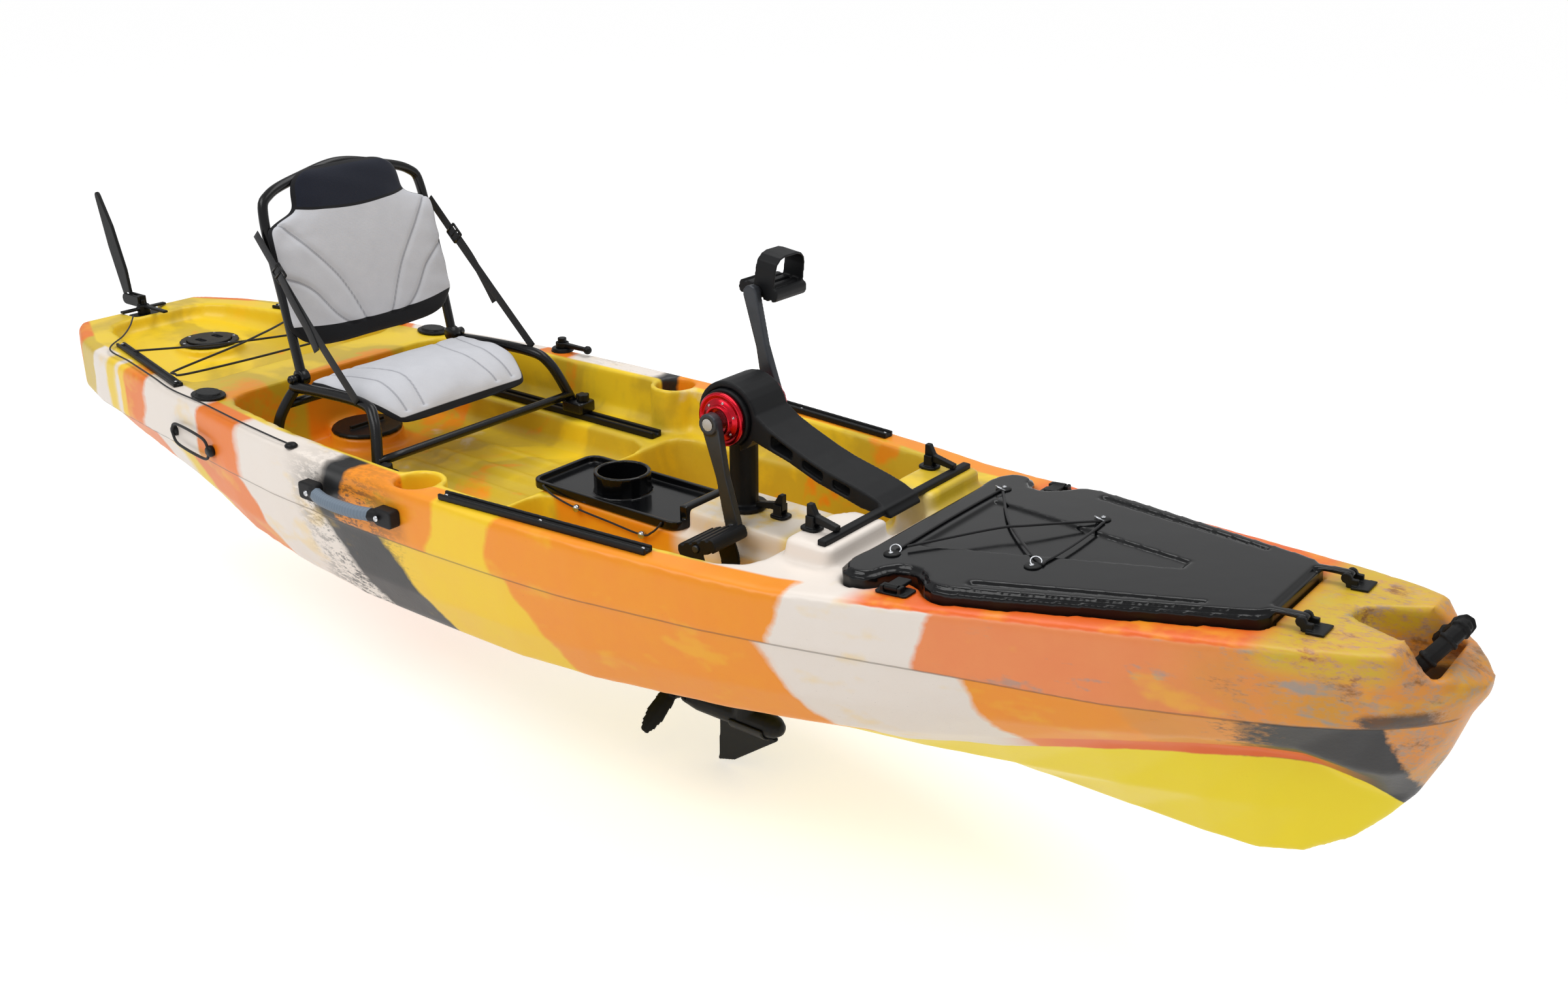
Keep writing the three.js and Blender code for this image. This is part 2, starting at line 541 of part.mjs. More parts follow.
// A well along X: low and high are its edges at deck level, floor its depth; grow widens every wall
function trough({ from, to, low, high, floor, top, round = cornerRound, draft = wellDraft, bends = [] }, grow) {
  const start = from - grow;
  const end = to + grow;
  const radius = round + grow;
  const endShares = [0, 0.25, 1];
  const places = new Set(bends);
  for (const share of endShares) {
    places.add(start + radius * share);
    places.add(end - radius * share);
  }
  const steps = Math.ceil((end - start - 2 * radius) / stationStep);
  for (let i = 1; i < steps; i += 1) places.add(mix(start + radius, end - radius, i / steps));
  const rings = [...places].sort((a, b) => a - b).map((x) => {
    const near = Math.max(radius - Math.min(x - start, end - x), 0);
    const inset = radius - Math.sqrt(Math.max(radius * radius - near * near, 0));
    const base = floor(x) - grow;
    const lowTop = low(x) - grow + inset;
    const highTop = high(x) + grow - inset;
    const lean = Math.min(draft, (highTop - lowTop) / 5);
    const lowFoot = lowTop + lean;
    const highFoot = highTop - lean;
    if (grow > 0) {
      return [
        new THREE.Vector3(x, lowTop, top),
        new THREE.Vector3(x, lowFoot, base),
        new THREE.Vector3(x, highFoot, base),
        new THREE.Vector3(x, highTop, top),
      ];
    }
    const corner = Math.min(fillet, (highFoot - lowFoot) / 3);
    return [
      new THREE.Vector3(x, lowTop, top),
      new THREE.Vector3(x, lowFoot, base + corner),
      new THREE.Vector3(x, lowFoot + corner, base),
      new THREE.Vector3(x, highFoot - corner, base),
      new THREE.Vector3(x, highFoot, base + corner),
      new THREE.Vector3(x, highTop, top),
    ];
  });
  return loft(rings);
}

const above = depth + foreRise + overrun;

function tankHalf(x) {
  return tank.halfFront + ((x - tank.frontX) * tank.taper) / tank.taperRun;
}

function tankFloor(x) {
  return depth - mix(tank.dropAft, tank.dropFront, (x - tank.from) / (tank.to - tank.from));
}

const bossTop = tankFloor(plate.x) + plate.boss;

function tankWell(grow) {
  const well = trough({
    from: tank.from, to: tank.to, low: (x) => -tankHalf(x), high: tankHalf, floor: tankFloor, top: above,
  }, grow);
  const boss = cylinder(plate.bossRadius - grow, plate.x, 0, 0, bossTop - grow);
  return cut(well, boss);
}

function cockpitHalf(x) {
  return Math.min(beamAt(x) - cockpit.rim, cockpit.halfMax);
}

function channelHalf(x) {
  const share = Math.min(Math.max((x - channel.flareFrom) / (channel.flareTo - channel.flareFrom), 0), 1);
  return mix(channel.flareHalf, channel.half, share);
}

// The cockpit: a wide upper well down to the side ledges, the seat well, two footwells and the channel
function cockpitWell(grow) {
  const upper = trough({
    from: cockpit.from, to: cockpit.to, low: (x) => -cockpitHalf(x), high: cockpitHalf,
    floor: () => ledgeFloor, top: above,
  }, grow);
  const lower = trough({
    from: seatWell.from, to: seatWell.to, low: () => -seatWell.half, high: () => seatWell.half,
    floor: () => seatWellFloor, top: depth,
  }, grow);
  const passage = trough({
    from: channel.from, to: channel.to, low: (x) => -channelHalf(x), high: channelHalf,
    floor: () => platformTop, top: above, round: fillet, bends: [channel.flareFrom, channel.flareTo],
  }, grow);
  const feet = sides.map(([, side]) => {
    const outer = (x) => Math.min(footwell.outer, cockpitHalf(x) - wellDraft);
    return trough({
      from: footwell.from, to: footwell.to, round: footwell.round,
      low: (x) => (side > 0 ? footwell.inner : -outer(x)),
      high: (x) => (side > 0 ? outer(x) : -footwell.inner),
      floor: () => footwell.floor, top: depth,
    }, grow);
  });
  const hump = block(platform.from + grow, platform.to - grow, -platform.half + grow, platform.half - grow,
    0, platformTop - grow);
  const collar = cylinder(seatHatch.collarRadius - grow, seatHatch.x, 0, 0, seatHatchTop - grow);
  const bulges = sides.map(([, side]) => cylinder(
    cupHole.radius + cupHole.wall - grow, cupHole.x, side * cupHole.y, 0, above,
  ));
  return cut(join(upper, lower, passage, ...feet), hump, collar, ...bulges);
}

function cupHoles(grow) {
  return join(...sides.map(([, side]) => cylinder(
    cupHole.radius + grow, cupHole.x, side * cupHole.y, depth - cupHole.depth - grow, above,
  )));
}

function legTube(grow) {
  return cylinder(drive.boreRadius + grow, drive.x, 0, -overrun, platformTop + overrun);
}

function bowNotch(grow) {
  const run = notch.to - notch.from;
  const half = (x) => mix(notch.halfAft, notch.halfFront, Math.min((x - notch.from) / run, 1));
  const fall = (x) => Math.min((x - notch.from) / (notch.low - notch.from), 1);
  return trough({
    from: notch.from, to: notch.to, low: (x) => -half(x), high: half, round: fillet, draft: deckEdge / 2,
    floor: (x) => mix(deckAt(notch.from) - notch.sinkAft, depth - notch.sinkFront, fall(x)), top: above,
  }, grow);
}

function rodAxis(side) {
  const top = [rodHolder.x, side * rodHolder.y, depth];
  const reach = rodHolder.length;
  const foot = [
    rodHolder.x - reach * Math.sin(rodHolder.lean),
    side * (rodHolder.y - reach * Math.sin(rodHolder.lean) / 4),
    depth - reach * Math.cos(rodHolder.lean),
  ];
  return [top, foot];
}

function rodBore(grow) {
  return join(...sides.map(([, side]) => {
    const [top, foot] = rodAxis(side);
    const along = (share) => top.map((value, k) => mix(value, foot[k], share));
    const over = (overrun + grow) / rodHolder.length;
    return bar(along(-over), along(1 + over), rodHolder.radius + rodHolder.wallGap + grow, 12);
  }));
}

function rudderSaddle(grow) {
  return block(sternX - overrun, sternX + saddle.length + grow, -saddle.half - grow, saddle.half + grow,
    saddleFloor - grow, above);
}

// The two ledges beside the channel: level blocks on the deck that carry the drive's cross bar
function ledgeBlocks(grow) {
  return join(...sides.map(([, side]) => {
    const ring = (out, z) => {
      const near = side * (ledge.inner - out + grow);
      const far = side * (ledge.outer + out - grow);
      return roundedRectangle(ledge.from - out + grow, ledge.to + out / 3 - grow, Math.min(near, far),
        Math.max(near, far), ledge.corner, 3).map(([x, y]) => new THREE.Vector3(x, y, z));
    };
    return loft([ring(ledge.draft, depth - ledge.root), ring(0, ledgeTop - ledge.bevel - grow),
      ring(-ledge.bevel, ledgeTop - grow)], ['x', 'y']);
  }));
}

function barGroove() {
  const half = arm.barWidth / 2 + 3 * gap;
  return block(arm.barX - half, arm.barX + half, -arm.barHalf - 3 * gap, arm.barHalf + 3 * gap,
    ledgeTop - arm.barSink, above);
}

// The foredeck's own frame: origin at the foot of the slope, X up the slope
const foreSlope = Math.atan2(foreRise, foreRun);
const foredeck = new THREE.Group();
foredeck.position.set(foreX, 0, depth);
foredeck.rotation.y = -foreSlope;
foredeck.updateMatrixWorld(true);

function onForedeck(body) {
  const geometry = geometryOf(body);
  geometry.applyMatrix4(foredeck.matrixWorld);
  return solid(geometry);
}

// The hatch outline: bulbous aft corners, a scallop at each side latch, straight sides to a narrow front
function hatchPoints(shares) {
  const run = hatch.front - hatch.aft;
  const right = shares.map(([along, out]) => [hatch.aft + along * run, out * hatch.half]);
  return [...right, ...right.map(([x, y]) => [x, -y]).reverse()];
}

function hatchOutline(offset) {
  const points = hatchPoints(hatchEdgeShares);
  const count = points.length;
  return points.map(([x, y], i) => {
    const [ax, ay] = points[(i + count - 1) % count];
    const [bx, by] = points[(i + 1) % count];
    const length = Math.hypot(bx - ax, by - ay);
    return [x - (offset * (by - ay)) / length, y + (offset * (bx - ax)) / length];
  });
}

// A plain outline inside the lid's edge, moved in by the inset
function hatchOpening(inset) {
  const run = hatch.front - hatch.aft;
  const right = hatchMouthShares.map(([along, out]) => [
    Math.min(Math.max(hatch.aft + along * run, hatch.aft + inset), hatch.front - inset), out * hatch.half - inset,
  ]);
  return [...right, ...right.map(([x, y]) => [x, -y]).reverse()];
}

function hatchRecess(grow) {
  return onForedeck(deckPlate(hatchOutline(hatch.seat + grow), -hatch.recess - grow, foreRise));
}

function hatchMouth() {
  return onForedeck(deckPlate(hatchOpening(hatch.mouthInset), -hatch.recess - wall - overrun / 2, foreRise));
}

// Hull: outer skin, inner skin, and the wells' walls between them
function hullSolid() {
  const wells = [tankWell, cockpitWell, cupHoles, legTube, bowNotch, rodBore, rudderSaddle, hatchRecess];
  const open = join(...wells.map((well) => well(0)));
  const walled = join(...wells.map((well) => well(wall)));
  const inside = cut(join(hullBody(wall), ledgeBlocks(wall)), walled);
  const plateHole = cylinder(plate.lidRadius + plate.neckWall + gap, plate.x, 0, bossTop - plate.neck - overrun,
    above);
  const seatHole = cylinder(seatHatch.neck + 4 * gap, seatHatch.x, 0, seatHatchTop - wall - overrun, above);
  const plugHole = bar([sternX - overrun, plug.y, plug.z], [sternX + wall + overrun, plug.y, plug.z],
    plug.stem + gap);
  const body = cut(join(hullBody(0), ledgeBlocks(0)), open, inside, hatchMouth(), barGroove(), plateHole, seatHole,
    plugHole);
  const floorRibs = [];
  for (let i = 0; i < ribs.count; i += 1) {
    const y = (i - (ribs.count - 1) / 2) * ribs.pitch;
    floorRibs.push(block(ribs.from, ribs.to, y - ribs.half, y + ribs.half, seatWellFloor - wall / 2,
      seatWellFloor + ribs.height));
  }
  return outerSkin(join(body, ...floorRibs));
}

const kayak = new THREE.Group();
const hatchGroup = new THREE.Group();
foredeck.add(hatchGroup);
kayak.add(foredeck);

function piece(name, body, material, parent = kayak) {
  const mesh = new THREE.Mesh(geometryOf(body), material);
  mesh.name = name;
  parent.add(mesh);
  return mesh;
}

piece('hull', hullSolid(), hullPlastic);

// Bow handle: an arched grip across the notch, with finger ribs
function bowHandleSolid() {
  const half = mix(notch.halfAft, notch.halfFront, (handleX - notch.from) / (notch.to - notch.from))
    - bowHandle.radius - 4 * gap;
  const base = deckAt(handleX) - bowHandle.lift;
  const path = [];
  const steps = 6;
  for (let i = 0; i <= steps; i += 1) {
    const share = (2 * i) / steps - 1;
    const lift = 1 - share * share;
    path.push([handleX + bowHandle.reach * lift, half * share, base + bowHandle.rise * lift]);
  }
  const grip = tube(path, bowHandle.radius, 10, 8);
  const rings = [];
  for (let i = 0; i < bowHandle.ribs; i += 1) {
    const share = mix(-bowHandle.gripHalf, bowHandle.gripHalf, i / (bowHandle.ribs - 1)) / half;
    const lift = 1 - share * share;
    const centre = [handleX + bowHandle.reach * lift, half * share, base + bowHandle.rise * lift];
    const slope = -2 * share;
    const along = new THREE.Vector3(bowHandle.reach * slope, half, bowHandle.rise * slope).normalize();
    const step = along.multiplyScalar(bowHandle.ribWidth / 2).toArray();
    rings.push(bar(centre.map((v, k) => v - step[k]), centre.map((v, k) => v + step[k]), bowHandle.ribRadius, 8));
  }
  return join(grip, ...rings);
}
piece('bow_handle', bowHandleSolid(), blackRubber);

// Side handles: two bolted caps and a bowed grip
function sideHandleSolid(side) {
  const y = Math.max(...[sideHandle.aft, sideHandle.front].map(beamAt)) + 2 * gap;
  const out = y + sideHandle.capDepth;
  const cap = (x) => {
    const outline = roundedRectangle(x - sideHandle.capLength / 2, x + sideHandle.capLength / 2,
      sideHandle.z - sideHandle.capHeight / 2, sideHandle.z + sideHandle.capHeight / 2, sideHandle.grip / 2, 2);
    return side > 0 ? sidePlate(outline, y, out) : sidePlate(outline, -out, -y);
  };
  const aft = sideHandle.aft + sideHandle.capLength / 2;
  const front = sideHandle.front - sideHandle.capLength / 2;
  const middle = (aft + front) / 2;
  const gripY = side * (y + sideHandle.grip + gap);
  const grip = tube([
    [aft, gripY, sideHandle.z],
    [mix(aft, middle, 1 / 2), gripY + side * sideHandle.bulge, sideHandle.z],
    [mix(middle, front, 1 / 2), gripY + side * sideHandle.bulge, sideHandle.z],
    [front, gripY, sideHandle.z],
  ], sideHandle.grip, 8, 8);
  return join(cap(aft - sideHandle.capLength / 2 + sideHandle.grip), cap(front + sideHandle.grip), grip);
}

// Slotted rails: a bar with a T slot along its top
function slottedBar(length, size) {
  const half = size.width / 2;
  const body = block(-length / 2, length / 2, -half, half, 0, size.height);
  const slot = block(-length, length, -size.slot / 2, size.slot / 2, size.height - size.slotDepth,
    size.height + overrun);
  return cut(body, slot);
}

function placedBar(name, size, side, height, material) {
  const dx = size.frontX - size.aftX;
  const dy = size.frontY - size.aftY;
  const mesh = piece(name, slottedBar(Math.hypot(dx, dy), size), material);
  mesh.position.set((size.aftX + size.frontX) / 2, (side * (size.aftY + size.frontY)) / 2, height);
  mesh.rotation.z = side * Math.atan2(dy, dx);
}

// Flush rod holders: an oval flange and a capped tube that leans aft
function rodHolderSolid(side) {
  const [top, foot] = rodAxis(side);
  const seatZ = depth + gap;
  const oval = [];
  const facets = 16;
  for (let i = 0; i < facets; i += 1) {
    const turn = (2 * Math.PI * i) / facets;
    oval.push([rodHolder.x + rodHolder.flangeLong * Math.cos(turn),
      side * rodHolder.y + rodHolder.flangeWide * Math.sin(turn)]);
  }
  const capOval = oval.map(([x, y]) => [mix(rodHolder.x, x, 3 / 4), mix(side * rodHolder.y, y, 3 / 4)]);
  const flange = deckPlate(oval, seatZ, seatZ + rodHolder.flange);
  const cap = deckPlate(capOval, seatZ, seatZ + rodHolder.flange + rodHolder.capThick);
  const along = (share) => top.map((value, k) => mix(value, foot[k], share));
  const over = overrun / rodHolder.length;
  const sleeve = cut(bar(along(-over), foot, rodHolder.radius, 12), block(rodHolder.x - overrun * 4,
    rodHolder.x + overrun * 4, side * rodHolder.y - overrun * 4, side * rodHolder.y + overrun * 4,
    seatZ + rodHolder.flange / 2, seatZ + overrun * 2));
  const bore = bar(along(over / 2), along(1 + over), rodHolder.bore, 12);
  return join(cap, flange, cut(sleeve, bore));
}

for (const [name, side] of sides) {
  piece(`side_handle_${name}`, sideHandleSolid(side), greyFoam);
  placedBar(`gear_track_${name}`, track, side, depth + gap, blackPlastic);
  placedBar(`tank_track_${name}`, tankTrack, side, depth + gap, blackPlastic);
  piece(`rod_holder_${name}`, rodHolderSolid(side), blackPlastic);
  const railBar = { ...rail, aftX: rail.aft, aftY: rail.y, frontX: rail.front, frontY: rail.y };
  placedBar(`seat_rail_${name}`, railBar, side, ledgeFloor + gap, blackPlastic);
}

// Tank well deck plate: a ring with a neck, and a twist lid with two finger recesses
function plateRing() {
  const seatZ = bossTop + gap;
  const inner = plate.lidRadius + 3 * gap;
  const neck = plate.lidRadius + plate.neckWall;
  const sill = plate.lidRadius - plate.step;
  return turned([[inner, plate.thick], [plate.radius, plate.thick], [plate.radius, 0], [neck, 0],
    [neck, -plate.neck], [sill, -plate.neck], [sill, -plate.neck / 2], [inner, -plate.neck / 2]],
  [plate.x, 0, seatZ], [0, 0, 1], 20);
}

function plateLid() {
  const foot = bossTop + gap - plate.neck / 2 + gap;
  const top = foot + plate.neck / 2 + plate.lidThick;
  const disc = cylinder(plate.lidRadius, plate.x, 0, foot, top, 20);
  const recesses = [-1, 1].map((way) => deckPlate(roundedRectangle(
    plate.x - plate.recessX / 2, plate.x + plate.recessX / 2,
    way * plate.recessOff - plate.recessY / 2, way * plate.recessOff + plate.recessY / 2, plate.recessY / 3, 2,
  ), top - plate.recessDepth, top + overrun));
  return cut(disc, ...recesses);
}
piece('tank_hatch_ring', plateRing(), blackPlastic);
piece('tank_hatch_lid', plateLid(), blackPlastic);

// Seat hatch: a twist lid on the moulded collar, with a grip bar across it
function seatHatchLid() {
  const seatZ = seatHatchTop + gap;
  const cover = turned([[0, seatHatch.thick], [seatHatch.radius - seatHatch.thick / 2, seatHatch.thick],
    [seatHatch.radius, seatHatch.thick / 2], [seatHatch.radius, 0], [seatHatch.neck, 0],
    [seatHatch.neck, -seatHatch.neckDepth], [0, -seatHatch.neckDepth]], [seatHatch.x, 0, seatZ], [0, 0, 1], 20);
  const grip = deckPlate(roundedRectangle(seatHatch.x - seatHatch.gripWidth / 2,
    seatHatch.x + seatHatch.gripWidth / 2, -seatHatch.gripLength / 2, seatHatch.gripLength / 2,
    seatHatch.gripWidth / 3, 2), seatZ + seatHatch.thick / 2, seatZ + seatHatch.thick + seatHatch.gripHeight);
  return join(cover, grip);
}
piece('seat_hatch_lid', seatHatchLid(), blackPlastic);

// Console tray with its cup ring, on the hump between the footwells
function consoleTray() {
  const seatZ = ledgeFloor + gap;
  const top = seatZ + tray.height;
  const floorPan = deckPlate(roundedRectangle(tray.from, tray.to, -tray.half, tray.half, tray.round), seatZ, top);
  const hollow = deckPlate(roundedRectangle(tray.from + tray.rim, tray.to - tray.rim, -tray.half + tray.rim,
    tray.half - tray.rim, tray.round - tray.rim), seatZ + tray.floor, top + overrun);
  const cup = cylinder(tray.cupRadius, tray.cupX, 0, seatZ + tray.floor / 2, seatZ + tray.cupHeight, 18);
  const well = cylinder(tray.cupBore, tray.cupX, 0, seatZ + tray.cupFloor, seatZ + tray.cupHeight + overrun, 18);
  const backWall = block(tray.backX, tray.to, -tray.backHalf, tray.backHalf, seatZ, seatZ + tray.backHeight);
  const foreEnd = cut(backWall, block(tray.backX - overrun, tray.backX + tray.rim / 2, -tray.backHalf + tray.rim,
    tray.backHalf - tray.rim, seatZ + tray.floor, seatZ + tray.backHeight - tray.floor));
  return cut(join(cut(floorPan, hollow), cup, foreEnd), well);
}
piece('console_tray', consoleTray(), glossBlack);

// Console bungee: a short cord with two beads along the console's side
function consoleBungee() {
  const y = -(tray.half + cord.bead + seamStep / 2);
  const held = -(tray.half + cord.console / 2 + hair);
  const route = [
    [-96, held, 13], [-86, held - 3, 9], [-58, y, 1], [-3, y, -9], [80, y, -15], [161, y, -20],
    [186, y, -9], [200, held - 3, 5], [204, held, 13],
  ].map(([x, side, up]) => [x, side, ledgeFloor + up]);
  const line = tube(route, cord.console / 2, 16, cord.facets);
  const beads = [route[3], route[5]].map((at) => ball(cord.bead, at));
  return join(line, ...beads);
}

function ball(radius, centre, wide = 10, high = 6) {
  const geometry = new THREE.SphereGeometry(radius, wide, high);
  geometry.translate(...centre);
  return solid(geometry);
}
piece('console_bungee', consoleBungee(), blackRubber);

// Front hatch lid: a dished cover with side ribs and a sunk middle panel, and its hinge leaves
function hatchLid() {
  const base = -hatch.recess + gap;
  const top = hatch.proud;
  const shell = deckPlate(hatchOutline(0), base, top - hatch.ribHeight);
  const crown = deckPlate(hatchOutline(-hatch.ribWidth / 2), top - hatch.ribHeight - gap, top);
  const inside = deckPlate(hatchOpening(hatch.rim), base - overrun, top - hatch.ribHeight - hatch.skin);
  const panel = deckPlate(hatchPoints(hatchPanelShares), top - hatch.panelDepth, top + overrun);
  const trench = sides.map(([, side]) => {
    const run = hatch.front - hatch.aft;
    const at = ([along, out], inset) => [hatch.aft + along * run, side * (out * hatch.half - inset)];
    const [from, to] = hatchTrenchShares;
    return deckPlate([at(from, hatch.rim), at(to, hatch.rim), at(to, hatch.rim + hatch.ribWidth / 2),
      at(from, hatch.rim + hatch.ribWidth)], top - hatch.panelDepth, top + overrun);
  });
  const leaves = sides.map(([, side]) => {
    const y = side * hinge.y;
    const leaf = block(hatch.front - hinge.leaf, hingeX, y - hinge.width / 2 + hinge.ear + gap,
      y + hinge.width / 2 - hinge.ear - gap, top - hatch.ribHeight, top);
    const knuckle = bar([hingeX, y - hinge.width / 2 + hinge.ear + gap, hinge.z],
      [hingeX, y + hinge.width / 2 - hinge.ear - gap, hinge.z], hinge.barrel, 14);
    const eye = bar([hingeX, y - hinge.width, hinge.z], [hingeX, y + hinge.width, hinge.z], hinge.pin + gap, 14);
    return [join(leaf, knuckle), eye];
  });
  const lid = cut(join(shell, crown), inside, panel, ...trench);
  return cut(join(lid, ...leaves.map(([leaf]) => leaf)), ...leaves.map(([, eye]) => eye));
}

// Hinge bracket on the deck: a foot, two ears and the pin
function hingeBracket(side) {
  const y = side * hinge.y;
  const half = hinge.footWidth / 2;
  const foot = block(hingeX + hinge.barrel + gap, hingeX + hinge.footLength, y - half, y + half, gap,
    gap + hinge.footHeight);
  const ears = [-1, 1].map((way) => {
    const y0 = y + way * (hinge.width / 2) - (way > 0 ? hinge.ear : 0);
    const ear = bar([hingeX, y0, hinge.z], [hingeX, y0 + hinge.ear, hinge.z], hinge.barrel, 14);
    return join(ear, block(hingeX, hingeX + hinge.footLength / 2, y0, y0 + hinge.ear, gap, hinge.z));
  });
  const pin = bar([hingeX, y - hinge.width / 2, hinge.z], [hingeX, y + hinge.width / 2, hinge.z], hinge.pin, 14);
  return join(foot, ...ears, pin);
}

const latchPinZ = 3 * gap + hatchLatch.foot + hatchLatch.leverThick;

// Side latch: a base screwed to the gunwale, and a lever on a pin
function latchBase(side) {
  const y0 = side * hatchLatch.y;
  const outline = roundedRectangle(hatchLatch.x - hatchLatch.length / 2, hatchLatch.x + hatchLatch.length / 2,
    y0 - hatchLatch.width / 2, y0 + hatchLatch.width / 2, hatchLatch.width / 5, 3);
  const foot = deckPlate(outline, gap, gap + hatchLatch.foot);
  const pinY = y0 + (side * hatchLatch.width) / 4;
  const pinZ = latchPinZ;
  const posts = [-1, 1].map((way) => {
    const x = hatchLatch.x + way * (hatchLatch.leverWidth / 2 + hatchLatch.leverThick / 2 + gap);
    return block(x - hatchLatch.leverThick / 2, x + hatchLatch.leverThick / 2, pinY - hatchLatch.post / 2,
      pinY + hatchLatch.post / 2, gap, gap + hatchLatch.post);
  });
  const pin = bar([hatchLatch.x - hatchLatch.leverWidth / 2 - hatchLatch.leverThick / 2, pinY, pinZ],
    [hatchLatch.x + hatchLatch.leverWidth / 2 + hatchLatch.leverThick / 2, pinY, pinZ], hatchLatch.pin);
  return join(foot, ...posts, pin);
}

function latchLever(side) {
  const pinY = side * (hatchLatch.y + hatchLatch.width / 4);
  const pinZ = latchPinZ;
  const inner = side * (hatchLatch.y + hatchLatch.width / 4 - hatchLatch.leverLength);
  const low = pinZ - hatchLatch.leverThick / 2;
  const y0 = Math.min(pinY, inner);
  const y1 = Math.max(pinY, inner);
  const half = hatchLatch.leverWidth / 2;
  const reach = block(hatchLatch.x - half, hatchLatch.x + half, y0, y1, low, low + hatchLatch.leverThick);
  const barrel = bar([hatchLatch.x - half, pinY, pinZ], [hatchLatch.x + half, pinY, pinZ],
    hatchLatch.leverThick, 12);
  const eye = bar([hatchLatch.x - half * 2, pinY, pinZ], [hatchLatch.x + half * 2, pinY, pinZ],
    hatchLatch.pin + gap, 12);
  return cut(join(reach, barrel), eye);
}

// Hatch bungee: one cord laced through four eyes, crossing over itself in the middle
function hatchBungee() {
  const low = hatch.proud + gap + cord.hatch / 2;
  const high = low + 2 * cord.hatch;
  const route = [
    [hatchEye.aftX, -hatchEye.aftY, low], [hatchEye.aftX - 3, 0, low], [hatchEye.aftX, hatchEye.aftY, low],
    [hatchEye.aftX + 12, hatchEye.aftY - 8, low], [231, 26, low], [hatchEye.frontX, -hatchEye.frontY + 3, low],
    [hatchEye.frontX + 10, -hatchEye.frontY + 12, low], [hatchEye.frontX + 14, 0, low],
    [hatchEye.frontX + 10, hatchEye.frontY - 12, low], [hatchEye.frontX, hatchEye.frontY - 3, low + 1],
    [271, 12, high], [231, -26, high], [hatchEye.aftX + 12, -hatchEye.aftY + 12, low + cord.hatch],
  ];
  return tube(route, cord.hatch / 2, 46, cord.facets);
}

piece('front_hatch_lid', hatchLid(), glossBlack, hatchGroup);
piece('hatch_bungee', hatchBungee(), blackRubber, hatchGroup);
for (const [name, side] of sides) {
  piece(`hatch_hinge_${name}`, hingeBracket(side), blackPlastic, foredeck);
  piece(`hatch_latch_base_${name}`, latchBase(side), blackPlastic, foredeck);
  piece(`hatch_latch_lever_${name}`, latchLever(side), blackPlastic, foredeck);
}

// Drive latches: a slotted tower on a plate, and a lever whose toe reaches over what it holds
function driveLatchBase(x, y) {
  const plateOutline = roundedRectangle(x - driveLatch.plateLength / 2, x + driveLatch.plateWidth / 4,
    y - driveLatch.plateWidth / 2, y + driveLatch.plateWidth / 2, driveLatch.plateWidth / 3, 3);
  const foot = deckPlate(plateOutline, gap, gap + driveLatch.plate);
  const tower = block(x - driveLatch.tower, x, y - driveLatch.towerWidth / 2, y + driveLatch.towerWidth / 2,
    gap, gap + driveLatch.plate + driveLatch.towerHeight);
  const slot = block(x - driveLatch.tower - overrun, x + overrun, y - driveLatch.slot / 2,
    y + driveLatch.slot / 2, gap + driveLatch.plate, foreRise);
  const pinX = x - driveLatch.tower / 2;
  const pinZ = gap + driveLatch.plate + driveLatch.towerHeight * (5 / 8);
  const pin = bar([pinX, y - driveLatch.towerWidth / 2, pinZ], [pinX, y + driveLatch.towerWidth / 2, pinZ],
    driveLatch.pin);
  return join(foot, cut(tower, slot), pin);
}

function driveLatchLever(x, y, toeZ) {
  const pinX = x - driveLatch.tower / 2;
  const pinZ = gap + driveLatch.plate + driveLatch.towerHeight * (5 / 8);
  const half = driveLatch.leverWidth / 2;
  const outline = [
    [pinX - driveLatch.leverThick, pinZ - driveLatch.leverThick / 2],
    [pinX + driveLatch.leverThick, pinZ - driveLatch.leverThick / 2],
    [pinX + driveLatch.lever - driveLatch.leverThick, toeZ],
    [pinX + driveLatch.lever, toeZ],
    [pinX + driveLatch.lever, toeZ + driveLatch.leverThick],
    [pinX + driveLatch.leverThick, pinZ + driveLatch.leverThick],
    [pinX, pinZ + driveLatch.handle],
    [pinX - driveLatch.leverThick, pinZ + driveLatch.handle],
  ];
  const eye = bar([pinX, y - half * 2, pinZ], [pinX, y + half * 2, pinZ], driveLatch.pin + gap);
  return cut(sidePlate(outline, y - half, y + half), eye);
}

const ledges = new THREE.Group();
ledges.position.set(0, 0, ledgeTop);
kayak.add(ledges);
const toeZ = arm.barHeight - arm.barSink + 2 * gap;
for (const [name, side] of sides) {
  piece(`drive_latch_base_${name}`, driveLatchBase(driveLatch.x, side * driveLatch.y), blackPlastic, ledges);
  const lever = driveLatchLever(driveLatch.x, side * driveLatch.y, toeZ);
  piece(`drive_latch_lever_${name}`, lever, blackPlastic, ledges);
}
const wellLatch = new THREE.Group();
wellLatch.position.set(driveLatch.wellX, 0, platformTop);
wellLatch.rotation.z = Math.PI;
kayak.add(wellLatch);
piece('drive_latch_base_well', driveLatchBase(0, 0), blackPlastic, wellLatch);
piece('drive_latch_lever_well', driveLatchLever(0, 0, drive.flangeHeight + 2 * gap), blackPlastic, wellLatch);

// Steering lever on the port gunwale
function steeringBase() {
  const z = depth + gap;
  return turned([[0, steering.height + steering.postHeight], [steering.post, steering.height + steering.postHeight],
    [steering.post, steering.height], [steering.radius - deckEdge / 4, steering.height], [steering.radius, 0],
    [0, 0]], [steering.x, steering.y, z], [0, 0, 1], 20);
}

